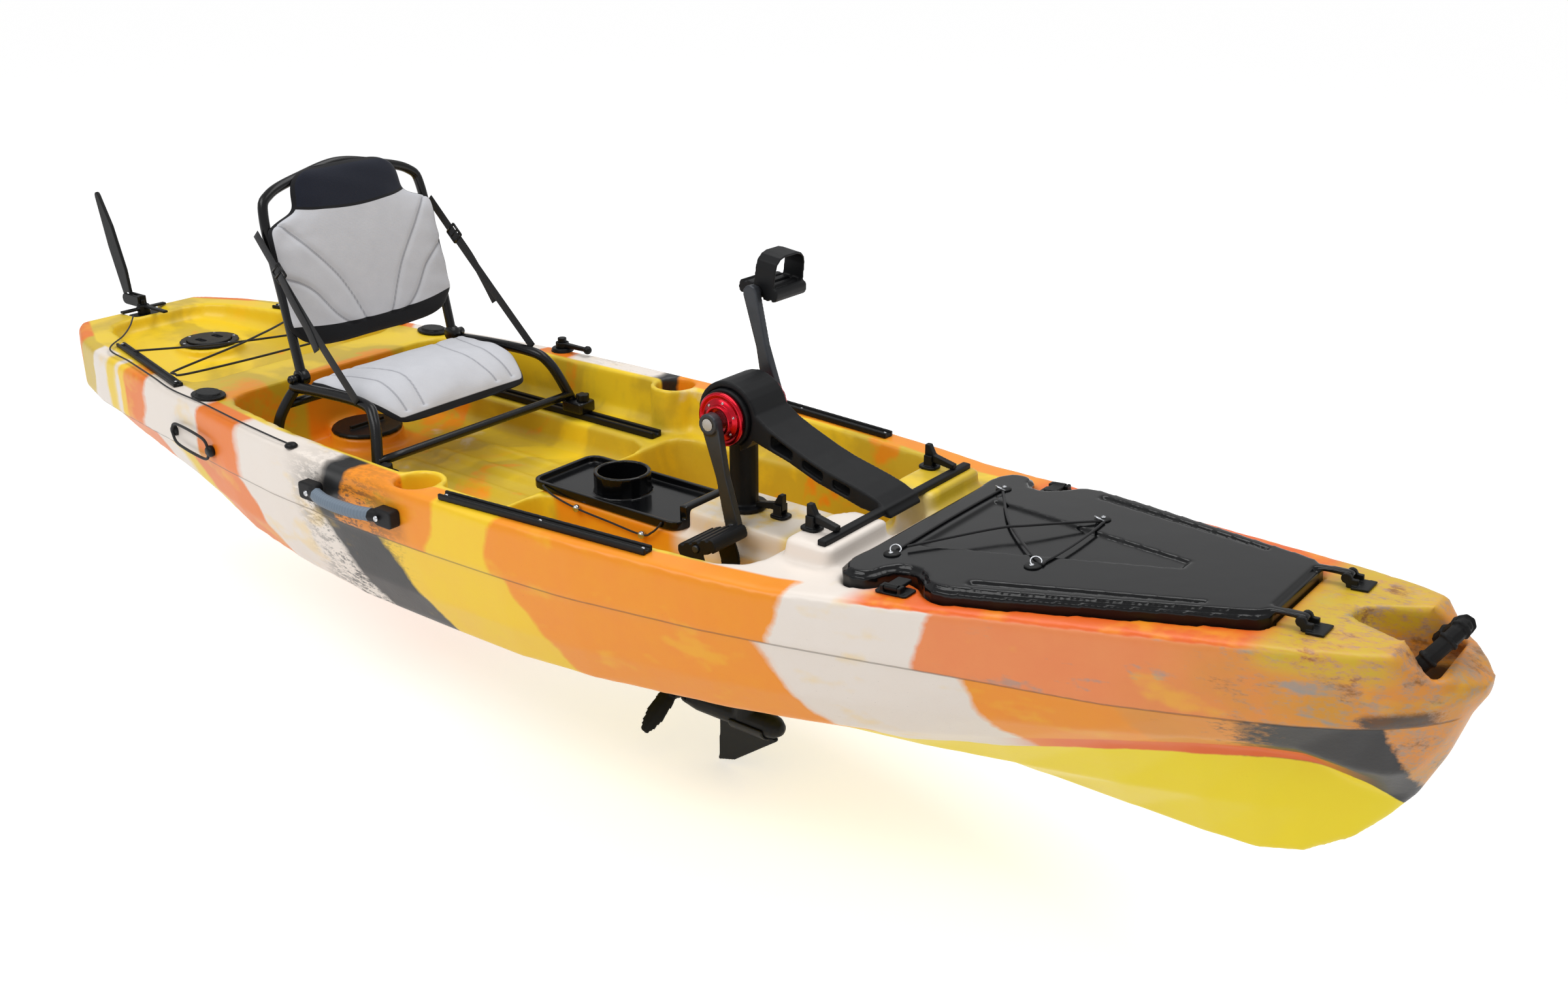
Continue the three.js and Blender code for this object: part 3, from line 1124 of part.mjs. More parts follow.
function steeringLever() {
  const z = depth + 2 * gap + steering.height;
  const boss = cylinder(steering.boss, steering.x, steering.y, z, z + steering.bossHeight, 20);
  const outline = [
    [steering.x, steering.y - steering.armWidth / 2], [steering.x + steering.arm, steering.y - steering.armWidth / 3],
    [steering.x + steering.arm, steering.y + steering.armWidth / 3], [steering.x, steering.y + steering.armWidth / 2],
  ];
  const low = z + (steering.bossHeight - steering.armHeight) / 2;
  const lever = deckPlate(outline, low, low + steering.armHeight);
  const grip = ball(steering.knob, [steering.x + steering.arm, steering.y, low + steering.armHeight / 2]);
  const bore = cylinder(steering.bore, steering.x, steering.y, z - overrun, z + steering.bossHeight + overrun, 20);
  return cut(join(boss, lever, grip), bore);
}
piece('steering_base', steeringBase(), blackPlastic);
piece('steering_lever', steeringLever(), blackPlastic);

// Rudder: bracket with a yaw pin in the stern saddle, a yoke with a fork, and the lifting blade
function rudderBracket() {
  const z = saddleFloor + gap;
  const front = sternX + saddle.length - gap;
  const foot = block(sternX, front, -rudder.plateHalf, rudder.plateHalf, z, z + rudder.plateHeight);
  const pin = cylinder(rudder.pin, rudder.yawX, 0, z, z + rudder.plateHeight + rudder.pinHeight, 16);
  return join(foot, pin);
}

const yokeLow = saddleFloor + 2 * gap + rudder.plateHeight + overrun / 2;

function rudderYoke() {
  const spacerLow = saddleFloor + 2 * gap + rudder.plateHeight;
  const boss = cylinder(rudder.bossRadius, rudder.yawX, 0, spacerLow, yokeLow + rudder.bossHeight, 20);
  const cross = block(rudder.yawX - rudder.armWidth / 2, rudder.yawX + rudder.armWidth / 2, -rudder.arm, rudder.arm,
    yokeLow, yokeLow + rudder.bossHeight / 2);
  const tiller = block(rudder.yawX, rudder.yawX + rudder.tillerReach, -rudder.tillerWidth / 2,
    rudder.tillerWidth / 2, yokeLow + rudder.bossHeight / 2, yokeLow + rudder.bossHeight);
  const outer = rudder.forkGap + rudder.forkWall;
  const forkLow = liftZ - rudder.forkHeight / 2;
  const cheek = (y0, y1) => sidePlate([
    [rudder.yawX, forkLow], [rudder.yawX, forkLow + rudder.forkHeight],
    ...arc(rudder.liftX, liftZ, rudder.forkHeight / 2, Math.PI / 2, (3 * Math.PI) / 2, 6),
  ], y0, y1);
  const fork = join(cheek(-outer, -rudder.forkGap), cheek(rudder.forkGap, outer));
  const web = block(rudder.yawX - rudder.bossRadius, rudder.yawX, -outer, outer, forkLow,
    forkLow + rudder.forkHeight);
  const pin = bar([rudder.liftX, -outer, liftZ], [rudder.liftX, outer, liftZ], rudder.liftPin);
  const bore = cylinder(rudder.pin + gap, rudder.yawX, 0, 0, above, 16);
  return cut(join(boss, cross, tiller, fork, web, pin), bore);
}

function rudderBlade() {
  const root = rudder.bladeRoot / 2;
  const half = rudder.bladeWidth / 2;
  const outline = [
    ...arc(0, 0, root, Math.PI, 0, 8),
    [rudder.bladeWidth - root * (5 / 4), rudder.bladeLength / 4],
    [half + rudder.bladeTip / 4, rudder.bladeLength * (2 / 3)],
    ...arc(root / 3, rudder.bladeLength - rudder.bladeTip / 2, rudder.bladeTip / 2, 0, Math.PI, 5),
    [-half * (2 / 3), rudder.bladeLength / 2],
    [-root, rudder.bladeLength / 6],
  ];
  const blade = sidePlate(outline, -rudder.bladeThick / 2, rudder.bladeThick / 2);
  const eye = bar([0, -overrun, 0], [0, overrun, 0], rudder.liftPin + gap);
  return cut(blade, eye);
}
piece('rudder_bracket', rudderBracket(), blackPlastic);
piece('rudder_yoke', rudderYoke(), blackPlastic);
const blade = piece('rudder_blade', rudderBlade(), blackPlastic);
blade.position.set(rudder.liftX, 0, liftZ);
blade.rotation.y = Math.PI / 2 - rudder.bladeAngle;

// Drain plug in the transom
function drainPlug() {
  const head = turned([[0, 0], [plug.radius, 0], [plug.radius, plug.head * (2 / 3)],
    [plug.radius * (3 / 4), plug.head], [0, plug.head]], [sternX - gap, plug.y, plug.z], [-1, 0, 0], 16);
  const stem = bar([sternX - gap, plug.y, plug.z], [sternX + plug.stemLength, plug.y, plug.z], plug.stem);
  const slot = block(sternX - overrun, sternX - gap - plug.head * (2 / 3), plug.y - plug.radius,
    plug.y + plug.radius, plug.z - plug.slot / 2, plug.z + plug.slot / 2);
  return cut(join(head, stem), slot);
}
piece('drain_plug', drainPlug(), blackPlastic);

// Tank bungee: laced between the tank tracks, crossing once with room between
function tankBungee() {
  const z = depth + 2 * gap + tankTrack.height + cord.tank / 2;
  const hump = z + 2 * cord.tank;
  const route = [
    [-1225, -232, z], [-1130, -70, z - 4], [-1050, 120, z - 4], [-1010, 266, z], [-1030, 272, z + 2],
    [-1180, 250, z + 2], [-1205, 240, z + 2], [-1190, 200, z + 4], [-1110, 60, hump], [-1080, 0, hump + 2],
    [-1050, -90, hump], [-1015, -262, z + 3], [-1000, -275, z + 2], [-985, -262, z], [-975, -120, z - 2],
    [-968, 60, z - 2], [-960, 280, z],
  ];
  return tube(route, cord.tank / 2, 62, cord.facets);
}
piece('tank_bungee', tankBungee(), blackRubber);

// Rudder line: from the yoke's side along the tank well to a pad eye on the starboard gunwale
function rudderLine() {
  const route = [
    [-1500, -62, 7], [-1440, -108, 4], [-1370, -168, 6], [-1290, -250, 8], [-1180, -272, 6], [-1040, -304, 6],
    [-930, -330, 6], [-800, -345, 7], [-640, -366, 6], [-520, -380, 6],
    [padEye.x, -padEye.y, padEye.height / 2 + gap],
  ].map(([x, y, up]) => [x, y, depth + up]);
  const line = tube(route, cord.line / 2, 34, cord.facets);
  const eye = cylinder(padEye.radius, padEye.x, -padEye.y, depth + gap, depth + padEye.height, 14);
  return join(line, eye);
}
piece('rudder_line', rudderLine(), blackRubber);

// Paddle keeper: a loop of cord between two plugs on the starboard side
function paddleKeeper() {
  const y = (x) => -(beamAt(x) + paddleLoop.standOff);
  const plugs = [paddleLoop.aft, paddleLoop.front].map((x) => {
    const face = -(Math.max(beamAt(x + paddleLoop.plug), beamAt(x - paddleLoop.plug)) + 2 * hair);
    return bar([x, face, paddleLoop.z], [x, face - paddleLoop.plugDepth, paddleLoop.z], paddleLoop.plug, 10);
  });
  const middle = (paddleLoop.aft + paddleLoop.front) / 2;
  const span = paddleLoop.front - paddleLoop.aft;
  const strand = (way) => {
    const shares = [-0.5, -0.42, -0.2, 0.2, 0.42, 0.5];
    const lift = [0, 0.8, 1, 1, 0.8, 0];
    return tube(shares.map((share, i) => {
      const x = middle + share * span;
      return [x, y(x), paddleLoop.z + way * lift[i] * paddleLoop.drop];
    }), cord.loop / 2, 8, cord.facets);
  };
  return join(...plugs, strand(1), strand(-1));
}
piece('paddle_loop', paddleKeeper(), blackRubber);

// Seat frame: bent side tubes on clamp feet that key into the rails, joined by cross bars
function seatFrame() {
  const railTop = ledgeFloor + gap + rail.height;
  const keyFloor = railTop - seat.keyDepth;
  const clamp = (side, x0, x1) => {
    const y = side * rail.y;
    const foot = block(x0, x1, y - seat.clampWidth / 2, y + seat.clampWidth / 2, railTop + gap,
      railTop + gap + seat.clampHeight);
    return join(foot, block(x0, x1, y - seat.key / 2, y + seat.key / 2, keyFloor, railTop + gap + overrun / 4));
  };
  const pieces = sides.flatMap(([, side]) => [
    tube([
      [seat.rearFootX, side * rail.y, railTop + seat.clampHeight / 2],
      [seat.rearFootX, side * mix(rail.y, seat.rearY, 1 / 3), mix(railTop, sideZ, 1 / 2)],
      [seat.rearX, side * seat.rearY, sideZ - seat.tube],
      [seat.rearX + seat.tube * 2, side * seat.rearY, sideZ],
      [seat.frontX, side * seat.rearY, depth + seat.frontRise],
      [seat.bendX, side * mix(seat.rearY, seat.footY, 1 / 3), depth + seat.bendRise],
      [seat.footX, side * seat.footY, depth - seat.footDrop],
    ], seat.tube, 13, 8),
    clamp(side, seat.rearFootX - seat.rearClampLength / 2, seat.rearFootX + seat.rearClampLength / 2),
    clamp(side, seat.clampFrom, seat.clampTo),
  ]);
  const barZ = depth - seat.barDrop;
  const frontBar = bar([seat.barX, -seat.footY, barZ], [seat.barX, seat.footY, barZ], seat.bar, 8);
  const rearBar = bar([seat.rearFootX, -seat.rearY - seat.tube, depth],
    [seat.rearFootX, seat.rearY + seat.tube, depth], seat.bar, 8);
  const lugs = sides.map(([, side]) => {
    const y0 = side * (back.half + back.earThick / 2 + gap);
    const y1 = side * (seat.rearY + seat.tube / 2);
    const inner = side * (back.half - back.earThick / 2);
    return join(bar([back.hingeX, y0, backHingeZ], [back.hingeX, y1, backHingeZ], seat.hingeHalf, 12),
      bar([back.hingeX, inner, backHingeZ], [back.hingeX, y1, backHingeZ], back.pin, 10),
      block(back.hingeX - seat.hingeHalf, back.hingeX + seat.hingeHalf, Math.min(y0, y1), Math.max(y0, y1),
        sideZ - seat.tube, backHingeZ));
  });
  const bores = sides.map(([, side]) => cylinder(knob.stem + 2 * gap, knob.x, side * rail.y,
    railTop + gap + seat.clampHeight - knob.bore, railTop + seat.clampHeight + overrun, 8));
  return cut(join(...pieces, frontBar, rearBar, ...lugs), ...bores);
}
piece('seat_base_frame', seatFrame(), tubeBlack);

function clampKnob(side) {
  const low = ledgeFloor + rail.height + seat.clampHeight + 3 * gap;
  const y = side * rail.y;
  const lobes = [];
  for (let i = 0; i < knob.lobes; i += 1) {
    const turn = (2 * Math.PI * i) / knob.lobes;
    lobes.push(cylinder(knob.lobe, knob.x + (knob.radius - knob.lobe) * Math.cos(turn),
      y + (knob.radius - knob.lobe) * Math.sin(turn), low, low + knob.height, 6));
  }
  const core = cylinder(knob.radius - knob.lobe, knob.x, y, low, low + knob.height + gap, 10);
  const stem = cylinder(knob.stem, knob.x, y, low - knob.stemHeight, low + knob.height / 2, 8);
  return join(core, ...lobes, stem);
}
for (const [name, side] of sides) piece(`seat_knob_${name}`, clampKnob(side), blackPlastic);

function distanceTo(path, u, v) {
  let best = Infinity;
  for (let i = 0; i + 1 < path.length; i += 1) {
    const [ax, ay] = path[i];
    const [bx, by] = path[i + 1];
    const length = (bx - ax) ** 2 + (by - ay) ** 2;
    const t = Math.min(Math.max(((u - ax) * (bx - ax) + (v - ay) * (by - ay)) / length, 0), 1);
    best = Math.min(best, Math.hypot(u - mix(ax, bx, t), v - mix(ay, by, t)));
  }
  return best;
}

function seamDip(paths, u, v, depthOf, half) {
  const near = Math.min(...paths.map((path) => distanceTo(path, u, v)));
  return depthOf * Math.exp(-((near / half) ** 2));
}

// Seat pan: a padded sling between the side tubes that droops at the front edge
function seatPan() {
  const rowsAlong = 16;
  const across = 20;
  const seams = [-1, 1].flatMap((side) => [
    [[pan.aft, (side * pan.half) / 3], [mix(pan.aft, pan.front, 1 / 2), (side * pan.half) / 4],
      [pan.front, (side * pan.half) / 3]],
    [[pan.aft, side * pan.half * (4 / 5)], [mix(pan.aft, pan.front, 1 / 2), side * pan.half * (2 / 3)],
      [pan.front, side * pan.frontHalf * (4 / 5)]],
  ]);
  const rows = [];
  for (let i = 0; i <= rowsAlong; i += 1) {
    const share = i / rowsAlong;
    const x = mix(pan.aft, pan.front, share);
    const corner = Math.max(pan.roll - Math.min(x - pan.aft, pan.front - x), 0);
    const fall = Math.max((x - (pan.front - pan.droopRun)) / pan.droopRun, 0);
    const half = mix(pan.half, pan.frontHalf, fall * fall) - (corner * corner) / (2 * pan.roll);
    const level = depth + pan.rise - pan.thick - pan.droop * fall * fall;
    const edge = Math.sqrt(Math.max(1 - (corner / pan.roll) ** 2, 0.1));
    const face = [];
    for (let j = 0; j <= across; j += 1) {
      const side = (2 * j) / across - 1;
      const y = side * half;
      const swell = pan.thick * edge * (1 - Math.abs(side) ** 10 * (4 / 5));
      const crown = pan.crown * (1 - side * side) * edge;
      face.push(new THREE.Vector3(x, y, level + swell + crown - seamDip(seams, x, y, pan.seam, pan.seamHalf)));
    }
    const rear = [3, 0, -3].map((k) => new THREE.Vector3(x, (k / 3) * (half - pan.thick / 3), level));
    rows.push([...face, ...rear]);
  }
  return loft(rows);
}
piece('seat_pan', seatPan(), greyCloth);

// Seat back: a hoop that folds on two ears, and its padded cover
const backGroup = new THREE.Group();
backGroup.position.set(back.hingeX, 0, backHingeZ);
backGroup.rotation.y = -back.lean;
kayak.add(backGroup);

function backFrame() {
  const round = back.hoopRound;
  const high = back.hoopHeight - round;
  const bend = Math.SQRT1_2;
  const hoop = tube([
    [0, -back.half, 0], [0, -back.half, high / 2], [0, -back.half, high],
    [0, -back.half + round * (1 - bend), high + round * bend * (3 / 4)],
    [0, -back.half + round * (4 / 3), back.hoopHeight - round / 6], [0, 0, back.hoopHeight],
    [0, back.half - round * (4 / 3), back.hoopHeight - round / 6],
    [0, back.half - round * (1 - bend), high + round * bend * (3 / 4)],
    [0, back.half, high], [0, back.half, high / 2], [0, back.half, 0],
  ], back.tube, 28, 8);
  const ears = sides.map(([, side]) => bar([0, side * (back.half - back.earThick / 2), 0],
    [0, side * (back.half + back.earThick / 2), 0], back.earRadius, 14));
  const eye = bar([0, -seat.rearY, 0], [0, seat.rearY, 0], back.pin + gap, 10);
  return cut(join(hoop, ...ears), eye);
}

function backPanel() {
  const across = 20;
  const shareOf = (v) => v / back.hoopHeight;
  const low = back.hoopHeight * backShares[0][0];
  const high = back.hoopHeight * backShares[backShares.length - 1][0];
  const middle = mix(low, high, 1 / 3);
  const seams = [-1, 1].flatMap((side) => [
    [[side * panelHalf * (7 / 8), high * (3 / 4)], [side * panelHalf * (2 / 5), middle],
      [(side * panelHalf) / 8, low]],
    [[side * panelHalf, high / 2], [side * panelHalf * (3 / 5), middle * (4 / 5)], [(side * panelHalf) / 5, low]],
  ]);
  const heights = [0, 0.02, 0.05, 0.12, 0.2, 0.28, 0.36, 0.44, 0.52, 0.6, 0.68, 0.71, 0.74, 0.78, 0.84, 0.92, 0.97, 1];
  const rows = heights.map((share) => {
    const v = mix(low, high, share);
    const half = panelHalf * curveAt(backShares, shareOf(v));
    const corner = Math.max(back.roll - Math.min(v - low, high - v), 0);
    const edge = Math.sqrt(Math.max(1 - (corner / back.roll) ** 2, 0.1));
    const rearX = back.tube + back.stand;
    const face = [];
    for (let j = 0; j <= across; j += 1) {
      const side = (2 * j) / across - 1;
      const u = side * half;
      const swell = back.thick * edge * (1 - Math.abs(side) ** 10 * (4 / 5));
      const crown = back.crown * (1 - side * side) * edge * Math.sin(Math.PI * share);
      const dip = share > 0.75 ? 0 : seamDip(seams, u, v, back.seam, back.seamHalf);
      face.push(new THREE.Vector3(rearX + swell + crown - dip, u, v));
    }
    const rear = [3, 0, -3].map((k) => new THREE.Vector3(rearX, (k / 3) * (half - back.thick / 3), v));
    return [...face, ...rear];
  });
  return loft(rows, ['x', 'y']);
}
piece('seat_back_frame', backFrame(), tubeBlack, backGroup);
piece('seat_back_panel', backPanel(), greyCloth, backGroup);

// Seat straps: webbing from the top of the back to the side tube, with a buckle
function seatStrap(side) {
  const top = new THREE.Vector3(strap.topX, side * (panelHalf + 3 * gap + strap.thick),
    depth + strap.topRise);
  const foot = new THREE.Vector3(strap.footX, side * (seat.rearY + seat.tube + 2 * gap + strap.thick / 2),
    depth + strap.footRise);
  const run = foot.clone().sub(top).normalize();
  const wide = new THREE.Vector3(0, side, 0).cross(run).normalize();
  const out = new THREE.Vector3(0, side, 0);
  const ring = (at, width, thick) => [[-1, -1], [1, -1], [1, 1], [-1, 1]].map(([a, b]) => at.clone()
    .add(wide.clone().multiplyScalar((a * width) / 2)).add(out.clone().multiplyScalar((b * thick) / 2)));
  const web = loft([ring(top, strap.width, strap.thick), ring(foot, strap.width, strap.thick)], ['x', 'y']);
  const centre = top.clone().lerp(foot, strap.buckleShare);
  const step = run.clone().multiplyScalar(strap.buckle / 2);
  const buckle = loft([ring(centre.clone().sub(step), strap.buckleWidth, strap.buckleThick),
    ring(centre.clone().add(step), strap.buckleWidth, strap.buckleThick)], ['x', 'y']);
  return join(web, buckle);
}
for (const [name, side] of sides) piece(`seat_strap_${name}`, seatStrap(side), blackRubber);

// Pedal drive housing: an open barrel, a hollow leg through the hull, and a gearcase with a bored tail
function driveHousing() {
  const { x } = drive;
  const z = driveZ;
  const barrel = bar([x, -drive.headHalf, z], [x, drive.headHalf, z], drive.headRadius, 24);
  const leg = cylinder(drive.legRadius, x, 0, drive.gearcaseZ, z, 16);
  const flangeLow = platformTop + gap;
  const flange = cylinder(drive.flangeRadius, x, 0, flangeLow, flangeLow + drive.flangeHeight, 20);
  const r = drive.gearcaseRadius;
  const nose = [0, 1, 2, 3].map((i) => {
    const turn = (Math.PI / 2) * (i / 3);
    return [r * Math.sin(turn), drive.noseX - drive.noseRound + drive.noseRound * Math.cos(turn)];
  });
  const gearcase = turned([...nose, [r, drive.tailX + drive.tailRound], [drive.tailRadius, drive.tailX],
    [0, drive.tailX]], [0, 0, drive.gearcaseZ], [1, 0, 0], 16);
  const mouth = bar([x, -drive.headHalf - overrun, z], [x, drive.headHalf + overrun, z], drive.headCavity, 24);
  const bore = cylinder(drive.legBore, x, 0, drive.gearcaseZ, z, 12);
  const low = bar([drive.tailX + drive.web, 0, drive.gearcaseZ], [x + drive.legBore, 0, drive.gearcaseZ],
    drive.gearcaseBore, 12);
  const topWeb = cylinder(drive.legBore + wall / 2, x, 0, driveZ - drive.topWeb, driveZ - drive.topWeb + drive.web, 12);
  const lowWeb = cylinder(drive.legBore + wall / 2, x, 0, drive.lowWebZ, drive.lowWebZ + drive.web, 12);
  const shaftWeb = bar([drive.shaftWebX, 0, drive.gearcaseZ], [drive.shaftWebX + drive.web, 0, drive.gearcaseZ],
    drive.gearcaseBore + wall / 2, 12);
  const shaftBore = cylinder(gears.shaft + gears.bearing, x, 0, drive.lowWebZ - overrun, driveZ - drive.topWeb + overrun, 12);
  const tailBore = bar([drive.tailX - overrun, 0, drive.gearcaseZ],
    [drive.shaftWebX + overrun, 0, drive.gearcaseZ], gears.propShaft + gears.bearing, 12);
  const shell = cut(join(barrel, leg, flange, gearcase), mouth, bore, low);
  return cut(join(shell, topWeb, lowWeb, shaftWeb), shaftBore, tailBore);
}
piece('drive_housing', driveHousing(), blackPlastic);

// Bevel pair on its pitch cones: a wheel or pinion as [radius, distance from the shared apex]
function bevelProfile(radius, mate, face, bore) {
  const inner = gears.toe;
  return [[bore, mate * inner], [radius * inner, mate * inner], [radius, mate], [radius, mate + face],
    [bore, mate + face]];
}

function crankAxle() {
  const { x } = drive;
  const z = driveZ;
  const end = crank.inner + crank.bossDepth;
  const axle = bar([x, -end, z], [x, end, z], crank.axle, 14);
  const profile = bevelProfile(gears.crankWheel - gears.backlash, gears.crankPinion, gears.wheelFace,
    crank.axle / 2);
  return join(axle, turned(profile, [x, gears.backlash, z], [0, 1, 0], 20));
}

function driveShaft() {
  const { x } = drive;
  const z = driveZ;
  const top = z - gears.crankWheel * gears.toe;
  const bottom = drive.gearcaseZ + gears.propPinion * gears.toe + gears.backlash;
  const pinion = turned(bevelProfile(gears.crankPinion - gears.backlash, gears.crankWheel, gears.pinionFace,
    gears.shaft / 2), [x, 0, z - gears.backlash], [0, 0, -1], 16);
  const wheel = turned(bevelProfile(gears.lowWheel - gears.backlash, gears.propPinion, gears.lowFace,
    gears.shaft / 2), [x, 0, drive.gearcaseZ + gears.backlash], [0, 0, 1], 18);
  return join(cylinder(gears.shaft, x, 0, bottom, top - gears.backlash, 12), pinion, wheel);
}

// Propeller: two twisted blades on a hub, with its shaft and bevel pinion
function propeller() {
  const section = (share) => {
    const radius = mix(prop.hub * (3 / 5), prop.blade, share);
    const chord = share < 1 / 2 ? mix(prop.rootChord, prop.midChord, share * 2)
      : mix(prop.midChord, prop.tipChord, (share * 2 - 1) ** 3);
    const thick = mix(prop.thick, prop.tipThick, share);
    const pitch = mix(prop.rootPitch, prop.tipPitch, Math.sqrt(share));
    const ring = [];
    for (let i = 0; i < prop.facets; i += 1) {
      const turn = (2 * Math.PI * i) / prop.facets;
      const along = (chord / 2) * Math.cos(turn);
      const up = (thick / 2) * Math.sin(turn);
      ring.push(new THREE.Vector3(along * Math.sin(pitch) + up * Math.cos(pitch), radius,
        along * Math.cos(pitch) - up * Math.sin(pitch)));
    }
    return ring;
  };
  const rings = [];
  for (let i = 0; i <= prop.steps; i += 1) rings.push(section(i / prop.steps));
  const vane = geometryOf(loft(rings, ['x', 'z']));
  const vanes = [0, 1].map((k) => {
    const copy = vane.clone();
    copy.rotateX(prop.angle + k * Math.PI);
    copy.translate(prop.x, 0, drive.gearcaseZ);
    return solid(copy);
  });
  const half = prop.hubLength / 2;
  const boss = turned([[0, -half - prop.nose], [prop.hub / 2, -half - prop.nose / 2], [prop.hub, -half],
    [prop.hub, half - gap], [0, half - gap]], [prop.x, 0, drive.gearcaseZ], [1, 0, 0], 20);
  const pinionX = drive.x - gears.lowWheel * gears.toe;
  const shaft = bar([prop.x, 0, drive.gearcaseZ], [pinionX - gears.backlash, 0, drive.gearcaseZ],
    gears.propShaft, 12);
  const pinion = turned(bevelProfile(gears.propPinion - gears.backlash, gears.lowWheel, gears.lowFace,
    gears.propShaft / 2), [drive.x - gears.backlash, 0, drive.gearcaseZ], [-1, 0, 0], 16);
  return join(boss, ...vanes, shaft, pinion);
}
piece('crank_axle', crankAxle(), steel);
piece('drive_shaft', driveShaft(), steel);
piece('propeller', propeller(), blackPlastic);

// Hub cover: a spigot in the barrel's mouth, a dished disc and a raised centre
function hubCover(side) {
  const y = drive.headHalf + gap;
  return turned([[crank.axle + gap, -hub.spigotDepth], [hub.spigot, -hub.spigotDepth], [hub.spigot, 0],
    [hub.radius, 0], [hub.radius, hub.thick - hub.bevel], [hub.radius - hub.bevel, hub.thick], [hub.step, hub.thick],
    [hub.step - hub.bevel, hub.thick + hub.stepHeight], [crank.axle + gap, hub.thick + hub.stepHeight]],
  [drive.x, side * y, driveZ], [0, side, 0], 20);
}

// Crank: a waisted arm from the axle boss to the pedal spindle
function crankArm(side) {
  const reach = crank.length;
  const outline = [
    ...arc(0, 0, crank.bossRadius, Math.PI / 2, (3 * Math.PI) / 2, 6),
    [reach / 2, -crank.waist],
    ...arc(reach, 0, crank.endRadius, -Math.PI / 2, Math.PI / 2, 5),
    [reach / 2, crank.waist],
  ];
  const y0 = side > 0 ? crank.inner : -crank.inner - crank.thick;
  const lever = sidePlate(outline, y0, y0 + crank.thick);
  const boss = bar([0, side * crank.inner, 0], [0, side * (crank.inner + crank.bossDepth), 0], crank.bossRadius, 16);
  const collar = bar([reach, side * crank.inner, 0], [reach, side * crank.collarEnd, 0], crank.collar, 10);
  const spindle = bar([reach, side * crank.inner, 0], [reach, side * crank.spindleEnd, 0], crank.spindle, 10);
  const eye = bar([0, side * (crank.inner - overrun), 0], [0, side * (crank.inner + crank.bossDepth + overrun), 0],
    crank.axle + gap, 14);
  return cut(join(lever, boss, collar, spindle), eye);
}

// Pedal: a rounded block with ribs across both faces, bored for the spindle, with a toe strap over it
function pedalSolid(side) {
  const half = pedal.length / 2;
  const outer = pedal.inner + pedal.width;
  const y0 = side > 0 ? pedal.inner : -outer;
  const outline = roundedRectangle(-half, half, -pedal.thick / 2, pedal.thick / 2, pedal.round, 2);
  const body = sidePlate(outline, y0, y0 + pedal.width);
  const grooves = [];
  for (let i = 0; i < pedal.grooves; i += 1) {
    const x = (i - (pedal.grooves - 1) / 2) * ((pedal.length - pedal.round) / pedal.grooves);
    for (const way of [-1, 1]) {
      const z = way * (pedal.thick / 2);
      grooves.push(block(x - pedal.grooveWidth / 2, x + pedal.grooveWidth / 2, y0 - overrun,
        y0 + pedal.width + overrun, z - pedal.grooveDepth, z + pedal.grooveDepth));
    }
  }
  const bore = bar([0, y0 - overrun, 0], [0, y0 + pedal.width + overrun, 0], pedal.bore, 10);
  const strapOutline = (inset) => roundedRectangle(y0 + inset, y0 + pedal.width - inset,
    -pedal.strapRound, pedal.thick / 2 + pedal.strapHeight - inset, pedal.strapRound - inset, 3);
  const at = half - pedal.strapWidth - pedal.round;
  const loop = cut(crossPlate(strapOutline(0), at, at + pedal.strapWidth),
    crossPlate(strapOutline(pedal.strapThick), at - overrun, at + pedal.strapWidth + overrun),
    block(-pedal.length, pedal.length, y0 - overrun, y0 + pedal.width + overrun, -pedal.length, 0));
  return cut(join(cut(body, ...grooves), loop), bore);
}

for (const [name, side] of sides) {
  piece(`hub_cover_${name}`, hubCover(side), redAnodised);
  const way = side > 0 ? Math.PI - crank.angle : -crank.angle;
  const turn = side > 0 ? -way : crank.angle;
  const lever = piece(`crank_${name}`, crankArm(side), darkGrey);
  lever.position.set(drive.x, 0, driveZ);
  lever.rotation.y = turn;
  const dx = crank.length * Math.cos(turn);
  const dz = -crank.length * Math.sin(turn);
  const tread = piece(`pedal_${name}`, pedalSolid(side), blackPlastic);
  tread.position.set(drive.x + dx, 0, driveZ + dz);
  tread.rotation.y = side > 0 ? pedal.portTilt : pedal.starboardTilt;
}

